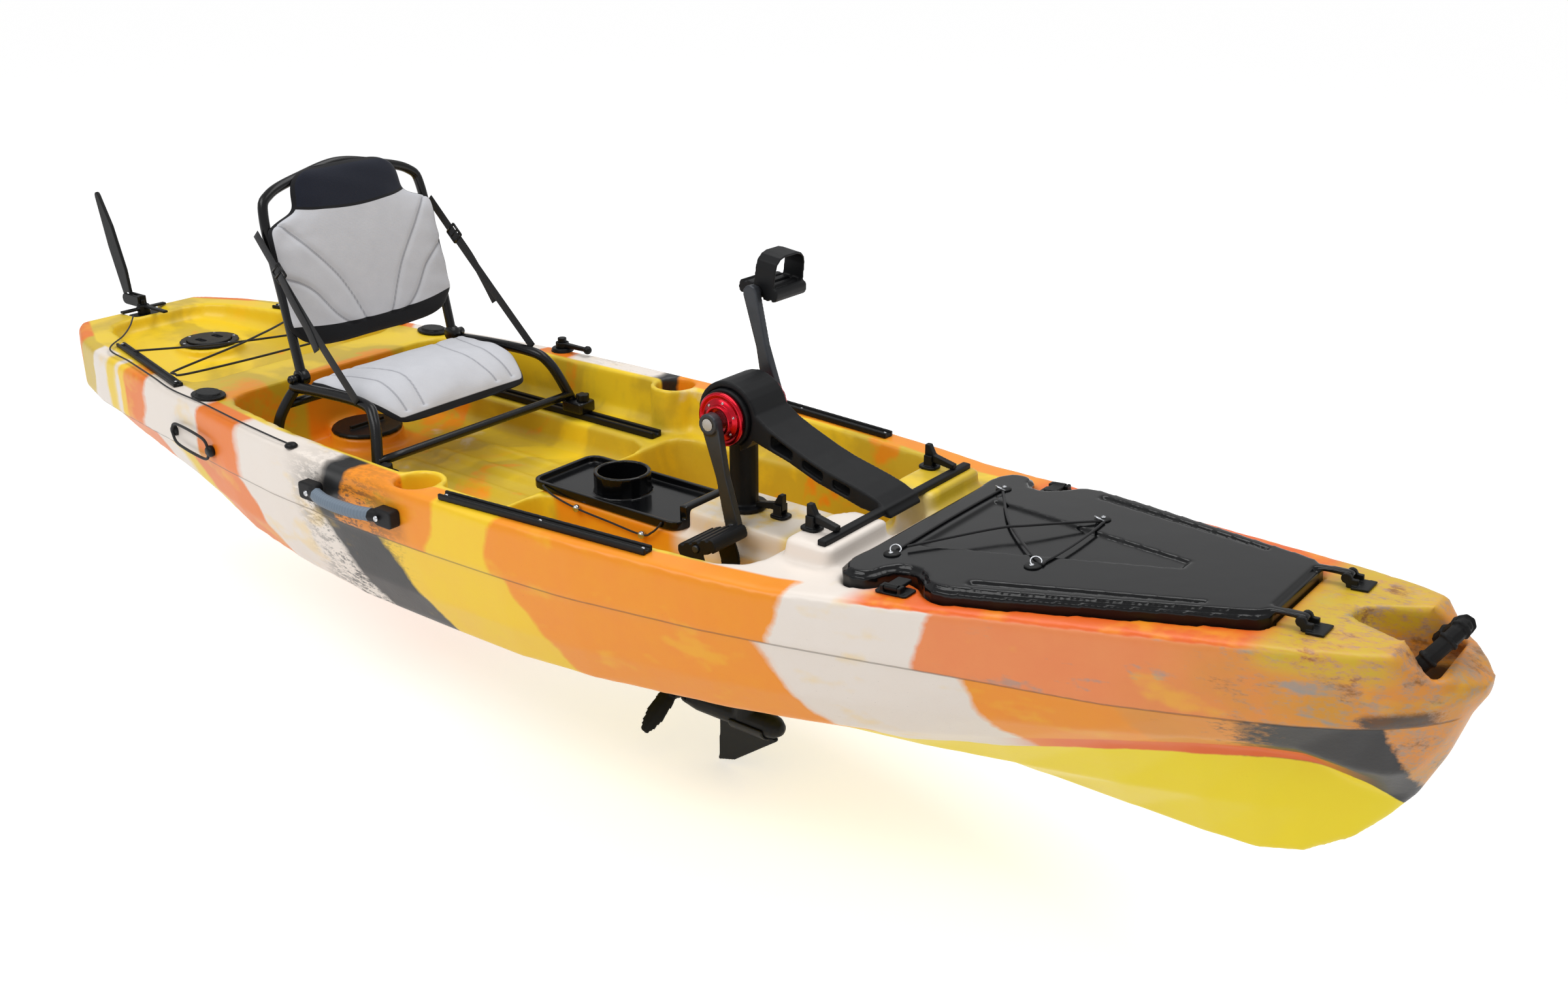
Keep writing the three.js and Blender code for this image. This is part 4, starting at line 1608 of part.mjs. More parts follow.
// Drive arm: a ring round the barrel, a hollow boxed arm with windows, and the cross bar on the ledges
function driveArm() {
  const ring = turned([[arm.inner, -arm.half], [arm.outer, -arm.half], [arm.outer, arm.half],
    [arm.inner, arm.half]], [drive.x, 0, driveZ], [0, 1, 0], 28);
  const place = ([along, up]) => [mix(drive.x, channel.to, along), mix(ledgeTop, driveZ, up)];
  const top = armTopShares.map(place);
  const under = armUnderShares.map(place);
  const middle = (arm.inner + arm.outer) / 2;
  const [rootTop, , root] = arc(drive.x, driveZ, middle, Math.PI / 3, -Math.PI / 6, 2);
  const box = sidePlate([rootTop, ...top, ...[...under].reverse(), root], -arm.half, arm.half);
  const hollowTop = top.slice(3, -4).map(([x, z]) => [x, z - arm.skin]);
  const hollowUnder = under.slice(1, -1).map(([x, z]) => [x, z + arm.skin]).reverse();
  const hollow = sidePlate([...hollowTop, ...hollowUnder], -arm.half + arm.web, arm.half - arm.web);
  const panes = armWindowShares.map(([from, to]) => {
    const corner = (along, upper) => {
      const shares = upper ? armTopShares : armUnderShares;
      const [x, z] = place([along, curveAt(shares, along)]);
      return [x, upper ? z - arm.pane : z + arm.pane];
    };
    return sidePlate([corner(from, false), corner(to, false), corner(to, true), corner(from, true)],
      -arm.half - overrun, arm.half + overrun);
  });
  const barrel = bar([drive.x, -arm.half - overrun, driveZ], [drive.x, arm.half + overrun, driveZ], arm.inner, 28);
  const half = arm.barWidth / 2;
  const barLow = ledgeTop - arm.barSink + gap;
  const crossBar = block(arm.barX - half, arm.barX + half, -arm.barHalf, arm.barHalf, barLow,
    barLow + arm.barHeight);
  const neck = drive.legRadius + 2 * gap;
  const mouth = block(drive.x - arm.outer - overrun, drive.x + neck, -arm.half - overrun, arm.half + overrun, 0,
    driveZ - arm.outer / 2);
  return join(cut(join(ring, cut(box, hollow)), ...panes, barrel, mouth), crossBar);
}
piece('drive_arm', driveArm(), blackPlastic);

// Skeg: a swept fin on a saddle under the gearcase
function skegFin() {
  const r = drive.gearcaseRadius + gap;
  const z = drive.gearcaseZ;
  const fin = sidePlate([[skeg.aftTop, z - r / 2], [skeg.aftLow, skeg.low], [skeg.tip, skeg.tipLow],
    [skeg.front, skeg.frontLow], [skeg.front, z - r / 2]], -skeg.thick / 2, skeg.thick / 2);
  const cradle = cut(bar([skeg.saddleFrom, 0, z], [skeg.saddleTo - drive.noseRound / 2, 0, z],
    r + skeg.saddleWall, 24), block(skeg.saddleFrom - overrun, skeg.saddleTo + overrun, -drive.gearcaseRadius * 2,
    drive.gearcaseRadius * 2, z, z + drive.gearcaseRadius * 2));
  return cut(join(fin, cradle), bar([drive.tailX, 0, z], [drive.noseX + overrun, 0, z], r, 24));
}
piece('skeg_fin', skegFin(), blackPlastic);

export default kayak;
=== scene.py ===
"""Studio scene of a sit-on-top pedal kayak: a marbled rotomoulded hull, a framed seat and a drop-in pedal drive.

Metres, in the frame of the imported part. Surfaces are grids of points worked out with numpy.
"""
import json
import math

import bmesh
import bpy
import numpy as np
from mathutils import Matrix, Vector


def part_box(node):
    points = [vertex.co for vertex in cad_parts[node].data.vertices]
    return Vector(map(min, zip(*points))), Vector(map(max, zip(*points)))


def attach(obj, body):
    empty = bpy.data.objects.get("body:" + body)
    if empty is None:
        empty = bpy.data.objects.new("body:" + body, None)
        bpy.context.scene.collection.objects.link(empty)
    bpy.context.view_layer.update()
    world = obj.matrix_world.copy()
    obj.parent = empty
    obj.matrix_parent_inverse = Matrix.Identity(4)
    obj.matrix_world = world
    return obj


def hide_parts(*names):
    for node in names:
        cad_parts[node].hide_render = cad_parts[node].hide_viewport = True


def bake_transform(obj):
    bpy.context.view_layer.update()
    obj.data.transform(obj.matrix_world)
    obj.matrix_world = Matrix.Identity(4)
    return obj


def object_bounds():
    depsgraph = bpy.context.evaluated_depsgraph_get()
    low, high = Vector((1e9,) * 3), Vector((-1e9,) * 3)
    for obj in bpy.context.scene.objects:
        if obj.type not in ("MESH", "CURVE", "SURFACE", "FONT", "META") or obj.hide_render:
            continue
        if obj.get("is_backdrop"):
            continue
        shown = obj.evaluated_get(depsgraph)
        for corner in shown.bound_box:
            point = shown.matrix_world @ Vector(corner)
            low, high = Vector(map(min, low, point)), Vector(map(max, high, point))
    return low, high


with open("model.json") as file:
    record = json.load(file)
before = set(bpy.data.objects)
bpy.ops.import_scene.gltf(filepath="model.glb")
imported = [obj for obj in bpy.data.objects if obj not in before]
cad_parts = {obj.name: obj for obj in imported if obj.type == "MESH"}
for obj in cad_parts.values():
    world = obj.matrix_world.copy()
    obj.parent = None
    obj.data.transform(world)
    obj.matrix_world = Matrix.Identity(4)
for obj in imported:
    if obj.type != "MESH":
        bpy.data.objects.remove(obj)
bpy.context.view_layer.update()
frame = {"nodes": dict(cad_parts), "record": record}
NODES = frame["nodes"]
BODY_OF = {node: body for body, nodes in frame["record"]["behaviour"]["bodies"].items() for node in nodes}
SLOT_OF = {part["node"]: part["material_slot"] for part in frame["record"]["subparts"]}
MM = 0.001

# Camera
CAMERA_PLACE = (1.9943, -2.0648, 1.3905)
CAMERA_YAW = math.radians(-37.44)
CAMERA_PITCH = math.radians(22.21)
LENS = 36.75
FLOOR_Z, FLOOR_HALF = -0.252, 40.0


def placed(name, data):
    """A new object of the scene that holds this data."""
    thing = bpy.data.objects.new(name, data)
    bpy.context.scene.collection.objects.link(thing)
    return thing


def make_camera():
    """The photograph's view: a level camera turned by its yaw and tipped down by its pitch."""
    data = bpy.data.cameras.new("view_camera")
    data.lens, data.sensor_width, data.sensor_fit = LENS, 36.0, "HORIZONTAL"
    data.clip_start, data.clip_end = 0.05, 200.0
    camera = placed("view_camera", data)
    ahead = Vector((math.sin(CAMERA_YAW) * math.cos(CAMERA_PITCH),
                    math.cos(CAMERA_YAW) * math.cos(CAMERA_PITCH), -math.sin(CAMERA_PITCH)))
    camera.location = CAMERA_PLACE
    camera.rotation_mode = "QUATERNION"
    camera.rotation_quaternion = ahead.to_track_quat("-Z", "Y")
    bpy.context.scene.camera = camera


make_camera()
bpy.context.scene.view_settings.view_transform = "Standard"


# Shader maths
class Wire:
    """A socket that adds Math nodes when it is used in an expression."""

    def __init__(self, look, socket):
        self.look, self.socket = look, socket

    def maths(self, operation, *values):
        """A Math node on this value and then the others."""
        return self.look.node("ShaderNodeMath", {"operation": operation}, dict(enumerate((self, *values))))

    def __add__(self, other):
        return self.maths("ADD", other)

    def __mul__(self, other):
        return self.maths("MULTIPLY", other)

    def __sub__(self, other):
        return self.maths("SUBTRACT", other)

    def __rsub__(self, other):
        return self.look.node("ShaderNodeMath", {"operation": "SUBTRACT"}, {0: other, 1: self})

    __radd__, __rmul__ = __add__, __mul__

    def wave(self):
        """A sine of this value, between 0 and 1."""
        return self.maths("SINE") * 0.5 + 0.5

    def rise(self, low, high):
        """0 below low, 1 above high, smooth between."""
        return self.look.node("ShaderNodeMapRange", {"interpolation_type": "SMOOTHSTEP"},
                              {"Value": self, "From Min": low, "From Max": high})

    def within(self, low, high, edge):
        """1 between low and high, fading over the edge width."""
        return self.rise(low - edge, low + edge) * (1 - self.rise(high - edge, high + edge))


class Look:
    """One procedural material and the calls that add its nodes."""

    def __init__(self, name, **uniform):
        self.material = bpy.data.materials.new(name)
        self.material.use_nodes = True
        self.tree = self.material.node_tree
        self.shader = self.tree.nodes["Principled BSDF"]
        for socket, value in uniform.items():
            self.shader.inputs[socket.replace("_", " ")].default_value = value
        self.place = self.node("ShaderNodeTexCoord", outlet="Object")
        self.uv = self.node("ShaderNodeTexCoord", outlet="UV")

    def node(self, kind, settings=None, inputs=None, outlet=0):
        made = self.tree.nodes.new(kind)
        for key, value in (settings or {}).items():
            if key == "stops":
                ramp = made.color_ramp
                while len(ramp.elements) < len(value):
                    ramp.elements.new(0.5)
                for element, (spot, colour) in zip(ramp.elements, value):
                    element.position = spot
                    element.color = (*colour, 1.0)
            else:
                setattr(made, key, value)
        for key, value in (inputs or {}).items():
            if isinstance(value, Wire):
                self.tree.links.new(value.socket, made.inputs[key])
            else:
                made.inputs[key].default_value = value
        return Wire(self, made.outputs[outlet])

    def noise(self, scale, detail=3.0, roughness=0.55, stretch=None, distortion=0.0, shift=0.0):
        """Noise in object coordinates, stretched and shifted."""
        where = self.place
        if stretch or shift:
            where = self.node("ShaderNodeMapping", None, {"Vector": where, "Scale": stretch or (1, 1, 1),
                                                          "Location": (shift, shift * 0.7, shift * 0.3)})
        return self.node("ShaderNodeTexNoise", None, {"Vector": where, "Scale": scale, "Detail": detail,
                                                      "Roughness": roughness, "Distortion": distortion})

    def axes(self, place=None):
        return [self.node("ShaderNodeSeparateXYZ", None, {"Vector": place or self.place}, k) for k in range(3)]

    def blend(self, share, under, over, mode="MIX"):
        """One colour laid over another by a share from 0 to 1."""
        def colour(value):
            return value if isinstance(value, Wire) else (*value, 1.0)
        return self.node("ShaderNodeMix", {"data_type": "RGBA", "blend_type": mode, "clamp_factor": True},
                         {0: share, 6: colour(under), 7: colour(over)}, 2)

    def layers(self, base, *coats):
        """Colours laid over a base in turn, each by its own share."""
        for share, colour in coats:
            base = self.blend(share, base, colour)
        return base

    def ramp(self, value, stops):
        return self.node("ShaderNodeValToRGB", {"stops": stops}, {0: value})

    def feed(self, socket, value):
        if isinstance(value, Wire):
            self.tree.links.new(value.socket, self.shader.inputs[socket])
        else:
            self.shader.inputs[socket].default_value = value

    def bump(self, height, depth, strength):
        self.feed("Normal", self.node("ShaderNodeBump", None,
                                      {"Height": height, "Distance": depth, "Strength": strength}))

    def finish(self, colour, roughness, height, depth, strength):
        """Feeds the colour, the roughness and the bump of a finish."""
        self.feed("Base Color", colour)
        self.feed("Roughness", roughness)
        self.bump(height, depth, strength)


def shade(red, green, blue):
    """A screen colour of 0 to 255 as linear light."""
    value = np.array([red, green, blue]) / 255
    return tuple(np.where(value <= 0.04045, value / 12.92, ((value + 0.055) / 1.055) ** 2.4).tolist())


# Meshes from grids
def put(name, points, faces, look=None, smooth=True):
    """A mesh object from points and faces, its place in its mesh, with outward faces."""
    mesh = bpy.data.meshes.new(name)
    mesh.from_pydata(np.asarray(points, float).reshape(-1, 3).tolist(), [], [list(map(int, f)) for f in faces])
    if smooth:
        mesh.shade_smooth()
    piece = placed(name, mesh)
    if look:
        mesh.materials.append(look.material)
    return piece


def grid_faces(rows, columns, wrap=True, rows_wrap=False):
    """Quads between neighbouring rows and columns of a grid."""
    down, across = np.meshgrid(np.arange(rows if rows_wrap else rows - 1),
                               np.arange(columns if wrap else columns - 1), indexing="ij")
    below, beside = (down + 1) % rows, (across + 1) % columns
    return np.stack([down * columns + across, down * columns + beside, below * columns + beside,
                     below * columns + across], -1).reshape(-1, 4)


def closed(grid):
    """Points and faces of rings stacked in a grid, with a pole at each end."""
    grid = np.asarray(grid, float)
    rows, columns = grid.shape[:2]
    points = np.concatenate([grid.reshape(-1, 3), [grid[0].mean(0), grid[-1].mean(0)]])
    around = np.arange(columns)
    beside = (around + 1) % columns
    first = np.stack([np.full(columns, rows * columns), beside, around], -1)
    last = np.stack([np.full(columns, rows * columns + 1), (rows - 1) * columns + around,
                     (rows - 1) * columns + beside], -1)
    return points, [*grid_faces(rows, columns), *first, *last]


def merge(parts):
    """Several points-and-faces pairs as one."""
    points, faces, shift = [], [], 0
    for some_points, some_faces in parts:
        points.append(np.asarray(some_points, float).reshape(-1, 3))
        faces += [[int(k) + shift for k in face] for face in some_faces]
        shift += len(points[-1])
    return np.concatenate(points), faces


def outward(piece):
    """Turns every closed shell of a piece to face out."""
    shell = bmesh.new()
    shell.from_mesh(piece.data)
    bmesh.ops.recalc_face_normals(shell, faces=shell.faces)
    shell.to_mesh(piece.data)
    shell.free()
    return piece


def unit(vector):
    """Vectors shortened or stretched to length one."""
    vector = np.asarray(vector, float)
    return vector / np.maximum(np.linalg.norm(vector, axis=-1, keepdims=True), 1e-12)


def curve(points, count, loop=False):
    """Catmull-Rom curve through given points, evenly spread by length."""
    points = np.asarray(points, float)
    ends = [points[-1:], points, points[:2]] if loop else [2 * points[:1] - points[1:2], points,
                                                          2 * points[-1:] - points[-2:-1]]
    p = np.concatenate(ends)
    share = np.linspace(0, 1, 24, endpoint=False)[None, :, None]
    a, b, c, d = (p[k:len(p) - 3 + k][:, None] for k in range(4))
    dense = 0.5 * (2 * b + (c - a) * share + (2 * a - 5 * b + 4 * c - d) * share ** 2
                   + (3 * b - a - 3 * c + d) * share ** 3)
    dense = dense.reshape(-1, points.shape[1])
    dense = np.concatenate([dense, dense[:1] if loop else points[-1:]])
    length = np.concatenate([[0], np.cumsum(np.linalg.norm(np.diff(dense, axis=0), axis=1))])
    spots = np.linspace(0, length[-1], count, endpoint=not loop)
    return np.stack([np.interp(spots, length, dense[:, k]) for k in range(points.shape[1])], -1)


def swept(path, section, up=(0, 0, 1), loop=False):
    """A section, given as (across, over) pairs, carried along a path and kept level with the up direction."""
    path = np.asarray(path, float)
    along = unit(np.roll(path, -1, 0) - np.roll(path, 1, 0)) if loop else unit(np.gradient(path, axis=0))
    across = unit(np.cross(along, np.broadcast_to(np.asarray(up, float), along.shape)))
    over = np.cross(across, along)
    section = np.asarray(section, float)
    return path[:, None] + across[:, None] * section[None, :, :1] + over[:, None] * section[None, :, 1:]


def ring(radius, count=16):
    """Points evenly round a circle, as (across, over) pairs."""
    turn = np.arange(count) * 2 * math.pi / count
    return np.stack([np.cos(turn) * radius, np.sin(turn) * radius], -1)


def rounded(wide, high, corner, steps=4):
    """Rounded rectangle as (across, over) pairs, anticlockwise."""
    turn = np.linspace(0, math.pi / 2, steps + 1)
    quarter = np.stack([np.cos(turn), np.sin(turn)], -1) * corner
    centre = np.array([wide / 2 - corner, high / 2 - corner])
    sides = []
    for k, (sx, sy) in enumerate([(1, 1), (-1, 1), (-1, -1), (1, -1)]):
        c, s = [(1, 0), (0, 1), (-1, 0), (0, -1)][k]
        turned = np.stack([quarter[:, 0] * c - quarter[:, 1] * s, quarter[:, 0] * s + quarter[:, 1] * c], -1)
        sides.append(turned + centre * (sx, sy))
    return np.concatenate(sides)


def solid_tube(path, radius, count=16, up=(0, 0, 1)):
    """A round bar along a path, closed at both ends."""
    return closed(swept(path, ring(radius, count), up))


def radials(axis, count):
    """The unit axis, and unit vectors that point away from it evenly all round."""
    axis = unit(axis)
    side = unit(np.cross(axis, (0, 0, 1) if abs(axis[2]) < 0.9 else (1, 0, 0)))
    turn = np.arange(count) * 2 * math.pi / count
    return axis, np.cos(turn)[:, None] * side + np.sin(turn)[:, None] * np.cross(axis, side)


def turned(profile, place, axis=(0, 0, 1), count=48):
    """A profile of (radius, height) pairs turned about an axis through a place."""
    profile = np.asarray(profile, float)
    axis, radial = radials(axis, count)
    rings = np.asarray(place, float) + profile[:, None, 1:] * axis + profile[:, None, :1] * radial[None]
    return closed(rings)


def fit(piece, body, slot, *nodes):
    """Puts a finished piece on its body, for the nodes that it stands for; its slot is not used.

    A body given as (first, second, start, end) leaves the piece on no body, with its place worked into its mesh.
    """
    if isinstance(body, tuple):
        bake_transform(piece)
    else:
        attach(piece, body)
    if nodes:
        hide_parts(*nodes)
    return piece


def made(name, shell, look, body, slot, *nodes):
    """A finished piece from points and faces."""
    return fit(outward(put(name, *shell, look)), body, slot, *nodes)


def baked(piece):
    """The piece with its modifiers worked into its mesh."""
    bpy.context.view_layer.update()
    sources = bpy.context.evaluated_depsgraph_get()
    mesh = bpy.data.meshes.new_from_object(piece.evaluated_get(sources))
    old = piece.data
    piece.modifiers.clear()
    piece.data = mesh
    mesh.name = piece.name
    bpy.data.meshes.remove(old)
    return piece


def merged_copy(name, node):
    """A new object with the mesh of a CAD node, its double points merged."""
    shell = bmesh.new()
    shell.from_mesh(NODES[node].data)
    bmesh.ops.remove_doubles(shell, verts=shell.verts, dist=2e-5)
    mesh = bpy.data.meshes.new(name)
    shell.to_mesh(mesh)
    shell.free()
    mesh.materials.clear()
    return placed(name, mesh)


def moulded(piece, voxel, passes):
    """The shape remeshed on a fine grid and relaxed, so every edge gets a moulded radius."""
    remesh = piece.modifiers.new("remesh", "REMESH")
    remesh.mode, remesh.voxel_size = "VOXEL", voxel
    relax = piece.modifiers.new("relax", "SMOOTH")
    relax.factor, relax.iterations = 0.5, passes
    baked(piece)
    piece.data.shade_smooth()
    return piece


# Colours and finishes
ORANGE, DEEP_ORANGE, YELLOW = shade(247, 150, 26), shade(240, 124, 22), shade(250, 205, 34)
LEMON, OLIVE, CREAM = shade(244, 208, 40), shade(214, 182, 46), shade(240, 230, 220)
CORAL, RED_ORANGE, UNDER_YELLOW = shade(241, 142, 84), shade(238, 104, 28), shade(255, 230, 26)
SMOKE, SOOT, SAND = shade(146, 152, 150), shade(34, 35, 36), shade(234, 150, 56)
OCHRE, TOOTH, EMBER = shade(214, 150, 40), shade(27, 26, 28), shade(70, 56, 40)
UPPER_ZONES = [(-1.62, DEEP_ORANGE), (-1.44, OLIVE), (-1.36, CREAM), (-1.27, LEMON), (-1.22, CREAM),
               (-1.19, YELLOW), (-1.15, DEEP_ORANGE), (-1.07, CREAM), (-0.83, DEEP_ORANGE), (-0.665, CREAM),
               (-0.36, SOOT), (-0.3, ORANGE), (-0.075, YELLOW), (0.1, ORANGE), (0.655, CREAM), (0.885, CORAL)]
LOWER_ZONES = [(-1.62, DEEP_ORANGE), (-1.45, OLIVE), (-1.2, DEEP_ORANGE), (-1.0, CREAM), (-0.93, LEMON),
               (-0.875, DEEP_ORANGE), (-0.655, CREAM), (-0.33, SOOT), (-0.15, YELLOW), (0.17, ORANGE),
               (0.675, CREAM), (1.0, ORANGE), (1.22, SAND), (1.37, SOOT), (1.5, DEEP_ORANGE)]
SEAM_LINE = [(-1.62, 0.229), (-0.35, 0.242), (0.23, 0.246), (0.61, 0.261), (0.92, 0.272), (1.15, 0.277),
             (1.41, 0.302), (1.6, 0.325)]
BEAM_LINE = [(-1.58, 0.15), (-1.4, 0.25), (-1.2, 0.29), (-0.98, 0.325), (-0.58, 0.387), (-0.1, 0.407), (0.41, 0.375),
             (0.77, 0.303), (1.04, 0.235), (1.31, 0.173), (1.5, 0.11), (1.6, 0.03)]


def table(look, value, pairs):
    """A piecewise straight function of a value, as a grey ramp."""
    spots, heights = np.array(pairs).T
    low, high = heights.min(), heights.max()
    span = spots[-1] - spots[0]
    stops = [((s - spots[0]) / span, ((h - low) / (high - low),) * 3) for s, h in zip(spots, heights)]
    return look.ramp((value - spots[0]) * (1 / span), stops) * (high - low) + low


def zones(look, value, pairs, edge=0.006):
    """Bands of colour along a value, with edges of one width."""
    start, end = -1.7, 1.7
    stops = [(0.0, pairs[0][1])]
    for (_, before), (spot, after) in zip(pairs, pairs[1:]):
        middle = (spot - start) / (end - start)
        stops += [(middle - edge / 7, before), (middle + edge / 7, after)]
    return look.ramp((value - start) * (1 / (end - start)), stops)


def marbled_hull():
    """Swirled rotomoulded plastic: bands of colour with wavering edges, soot smudges and powder speckle."""
    look = Look("marbled_polyethylene", Specular_IOR_Level=0.45)
    x, y, z = look.axes()
    up = look.axes(look.node("ShaderNodeNewGeometry", outlet="Normal"))[2]
    wide = look.noise(1.7, 2.0, 0.5)
    middle = look.noise(6.5, 2.5, 0.55, shift=3.1)
    fine = look.noise(46, 3.5, 0.62, shift=7.7)
    powder = look.noise(420, 2.0, 0.8, shift=1.3)
    waver = (wide - 0.5) * 0.24 + (middle - 0.5) * 0.2
    ragged = (fine - 0.5) * 0.016
    away = y.maths("ABSOLUTE")
    seam = table(look, x, SEAM_LINE)
    beam = table(look, x, BEAM_LINE)
    port = y.rise(-0.02, 0.02)
    along = x + waver * 0.45 + ragged + port * ((wide - 0.5) * 0.9 - 0.16)
    upper = zones(look, along - (z - 0.3) * 0.12, UPPER_ZONES)
    lower = zones(look, along + (z - 0.18) * 0.62 - (z - 0.2) * (z - 0.2) * 2.4, LOWER_ZONES)
    above_seam = (z - seam).rise(-0.002, 0.002)
    colour = look.blend(above_seam, lower, upper)
    # smudges: soot dragged out of the black bands, grey smoke on the coral side
    grain = look.noise(90, 4.0, 0.75, stretch=(0.5, 1, 1.4), shift=4.4)
    soot_near = (x + waver * 0.5).within(-0.4, -0.17, 0.07) * z.within(0.03, 0.33, 0.05)
    soot = soot_near * (grain + middle * 0.5).rise(0.72, 0.86)
    bow_share = (x + waver).rise(1.12, 1.5)
    blotch = look.noise(16, 5.0, 0.7, stretch=(0.7, 1, 1.5), shift=8.3)
    mottle = (grain * 0.55 + blotch * 0.42 + bow_share * 0.15).rise(0.57, 0.74) * bow_share.maths("SQRT")
    streak = look.noise(9, 3.0, 0.6, stretch=(1, 1, 3.4), shift=5.2)
    smoke = (streak + fine * 0.3).rise(0.72, 0.86) * x.within(0.98, 1.5, 0.12) * above_seam
    wisps = (look.noise(5.5, 3.0, 0.6, stretch=(1, 1, 2.0), shift=9.1) + fine * 0.12).rise(0.62, 0.76)
    # the bow's dark teeth and the orange strip over the yellow keel
    tooth = (x + grain * 0.2).rise(1.4, 1.47) * (1 - (x + (z - 0.31) * 0.33 + fine * 0.03).rise(1.512, 1.522))
    brow = (x + grain * 0.05).within(1.5, 1.58, 0.012) * (z - seam + grain * 0.012).within(0.0, 0.028, 0.006)
    keel_line = table(look, x, [(-1.62, 0.0), (-0.9, 0.0), (-0.2, 0.012), (0.5, 0.03), (0.85, 0.09), (1.15, 0.168),
                                (1.35, 0.2), (1.46, 0.2), (1.56, 0.12), (1.62, 0.05)])
    under = 1 - (z - keel_line + ragged * 0.3).rise(-0.002, 0.002)
    strip = (z - keel_line).within(0.0, 0.026, 0.003) * x.within(1.02, 1.44, 0.06)
    colour = look.layers(
        colour, (soot * 0.9, SOOT), (bow_share * 0.95, look.blend(middle.rise(0.4, 0.62), SAND, OCHRE)),
        (mottle * 0.62, look.blend(blotch.rise(0.52, 0.66), SMOKE, EMBER)), (smoke * 0.75, SMOKE),
        (wisps * 0.34, YELLOW), (tooth * (1 - above_seam), TOOTH), (brow * above_seam * 0.85, TOOTH),
        (strip, RED_ORANGE), (under, UNDER_YELLOW))
    # wells, ledges and foredeck
    inner = (away - beam * 0.875).rise(-0.004, 0.004)
    well = (1 - inner) * (z.rise(0.14, 0.17) + up.rise(0.1, 0.3)).rise(0.4, 0.6)
    patch = look.noise(3.3, 3.0, 0.6, shift=12.5, distortion=0.8)
    pale = look.noise(2.6, 4.0, 0.65, shift=21.0)
    hump = x.within(-0.16, 0.26, 0.01) * (1 - away.rise(0.088, 0.094)) * z.rise(0.12, 0.14)
    collar = x.within(-0.83, -0.62, 0.01) * (1 - away.rise(0.08, 0.1))
    platform = x.within(0.235, 0.47, 0.02) * (1 - away.rise(0.1, 0.12)) * z.rise(0.2, 0.24)
    lip = x.within(0.5, 0.72, 0.015) * y.within(-0.4, 0.05, 0.04) * z.rise(0.2, 0.26)
    inside = look.layers(
        LEMON, ((patch + fine * 0.08).rise(0.46, 0.58), OLIVE), ((patch + fine * 0.1).rise(0.64, 0.72) * 0.9, ORANGE),
        (1 - (patch + fine * 0.12).rise(0.34, 0.4), YELLOW), ((pale + fine * 0.1).rise(0.66, 0.76) * 0.8, CREAM),
        (hump * (0.75 + patch * 0.4).rise(0.8, 0.95), ORANGE), (collar, ORANGE),
        (platform * 0.92, look.blend((patch + fine * 0.2).rise(0.5, 0.7), CREAM, YELLOW)), (lip, CREAM))
    rim_deck = up.rise(0.55, 0.75) * x.rise(0.74, 0.8) * (1 - x.rise(1.3, 1.36))
    nose_deck = x.within(1.34, 1.5, 0.025) * z.rise(0.365, 0.395)
    speck = powder.rise(0.66, 0.78) * (wide * 0.6 + middle * 0.5).rise(0.5, 0.72)
    colour = look.layers(
        colour, (well * (1 - x.rise(0.7, 0.72)), inside),
        (rim_deck, look.blend((streak + fine * 0.2).rise(0.6, 0.8), RED_ORANGE, ORANGE)),
        (nose_deck * (0.9 - mottle), OLIVE), (speck * 0.38, SOOT))
    cloud = look.noise(15, 4.0, 0.65, shift=2.2)
    colour = look.blend(0.16, colour, look.ramp(cloud, [(0.3, (0.35, 0.35, 0.35)), (0.7, (0.66, 0.66, 0.66))]),
                        "OVERLAY")
    parting = (z - seam).within(-0.0016, 0.0016, 0.0006) * (away - beam * 0.8).rise(0, 0.01)
    colour = look.blend(parting * 0.5, colour, EMBER)
    look.finish(colour, 0.3 + cloud * 0.16 + speck * 0.2,
                cloud * 0.5 + powder * 0.06 + look.noise(160, 2.0, 0.5) * 0.16 - parting, 0.0016, 0.6)
    return look


def moulded_plastic(name, colour, roughness=0.42, grain=900, depth=0.00025, wear=0.06, specular=0.4):
    """Injection-moulded plastic with a fine spark grain and slightly paler scuffs."""
    look = Look(name, Specular_IOR_Level=specular)
    scuff = look.noise(34, 5.0, 0.7, stretch=(1, 1, 0.6))
    fine = look.noise(grain, 2.0, 0.6)
    pale = tuple(min(1.0, c * 1.8 + 0.006) for c in colour)
    look.finish(look.blend(scuff.rise(0.5, 0.85) * wear * 6, colour, pale),
                roughness + (scuff - 0.5) * 0.22 + (fine - 0.5) * 0.06, fine + scuff * 0.25, depth, 0.7)
    return look


def glossy_plastic():
    """Thermoformed black sheet: a deep gloss with slow waves, dust and hair scratches."""
    look = Look("gloss_black_sheet", Specular_IOR_Level=0.32)
    wave = look.noise(7.5, 2.0, 0.5)
    dust = look.noise(620, 2.0, 0.7)
    haze = look.noise(11, 5.0, 0.66, shift=2.0)
    scratch = look.noise(130, 3.0, 0.7, stretch=(0.06, 1, 1))
    look.finish(look.blend(dust.rise(0.68, 0.8) * 0.3 + haze.rise(0.5, 0.8) * 0.2, shade(10, 11, 13),
                           shade(38, 40, 44)), 0.1 + haze * 0.12 + scratch.rise(0.6, 0.8) * 0.1,
                wave + haze * 0.25 + dust * 0.02, 0.0012, 0.5)
    return look


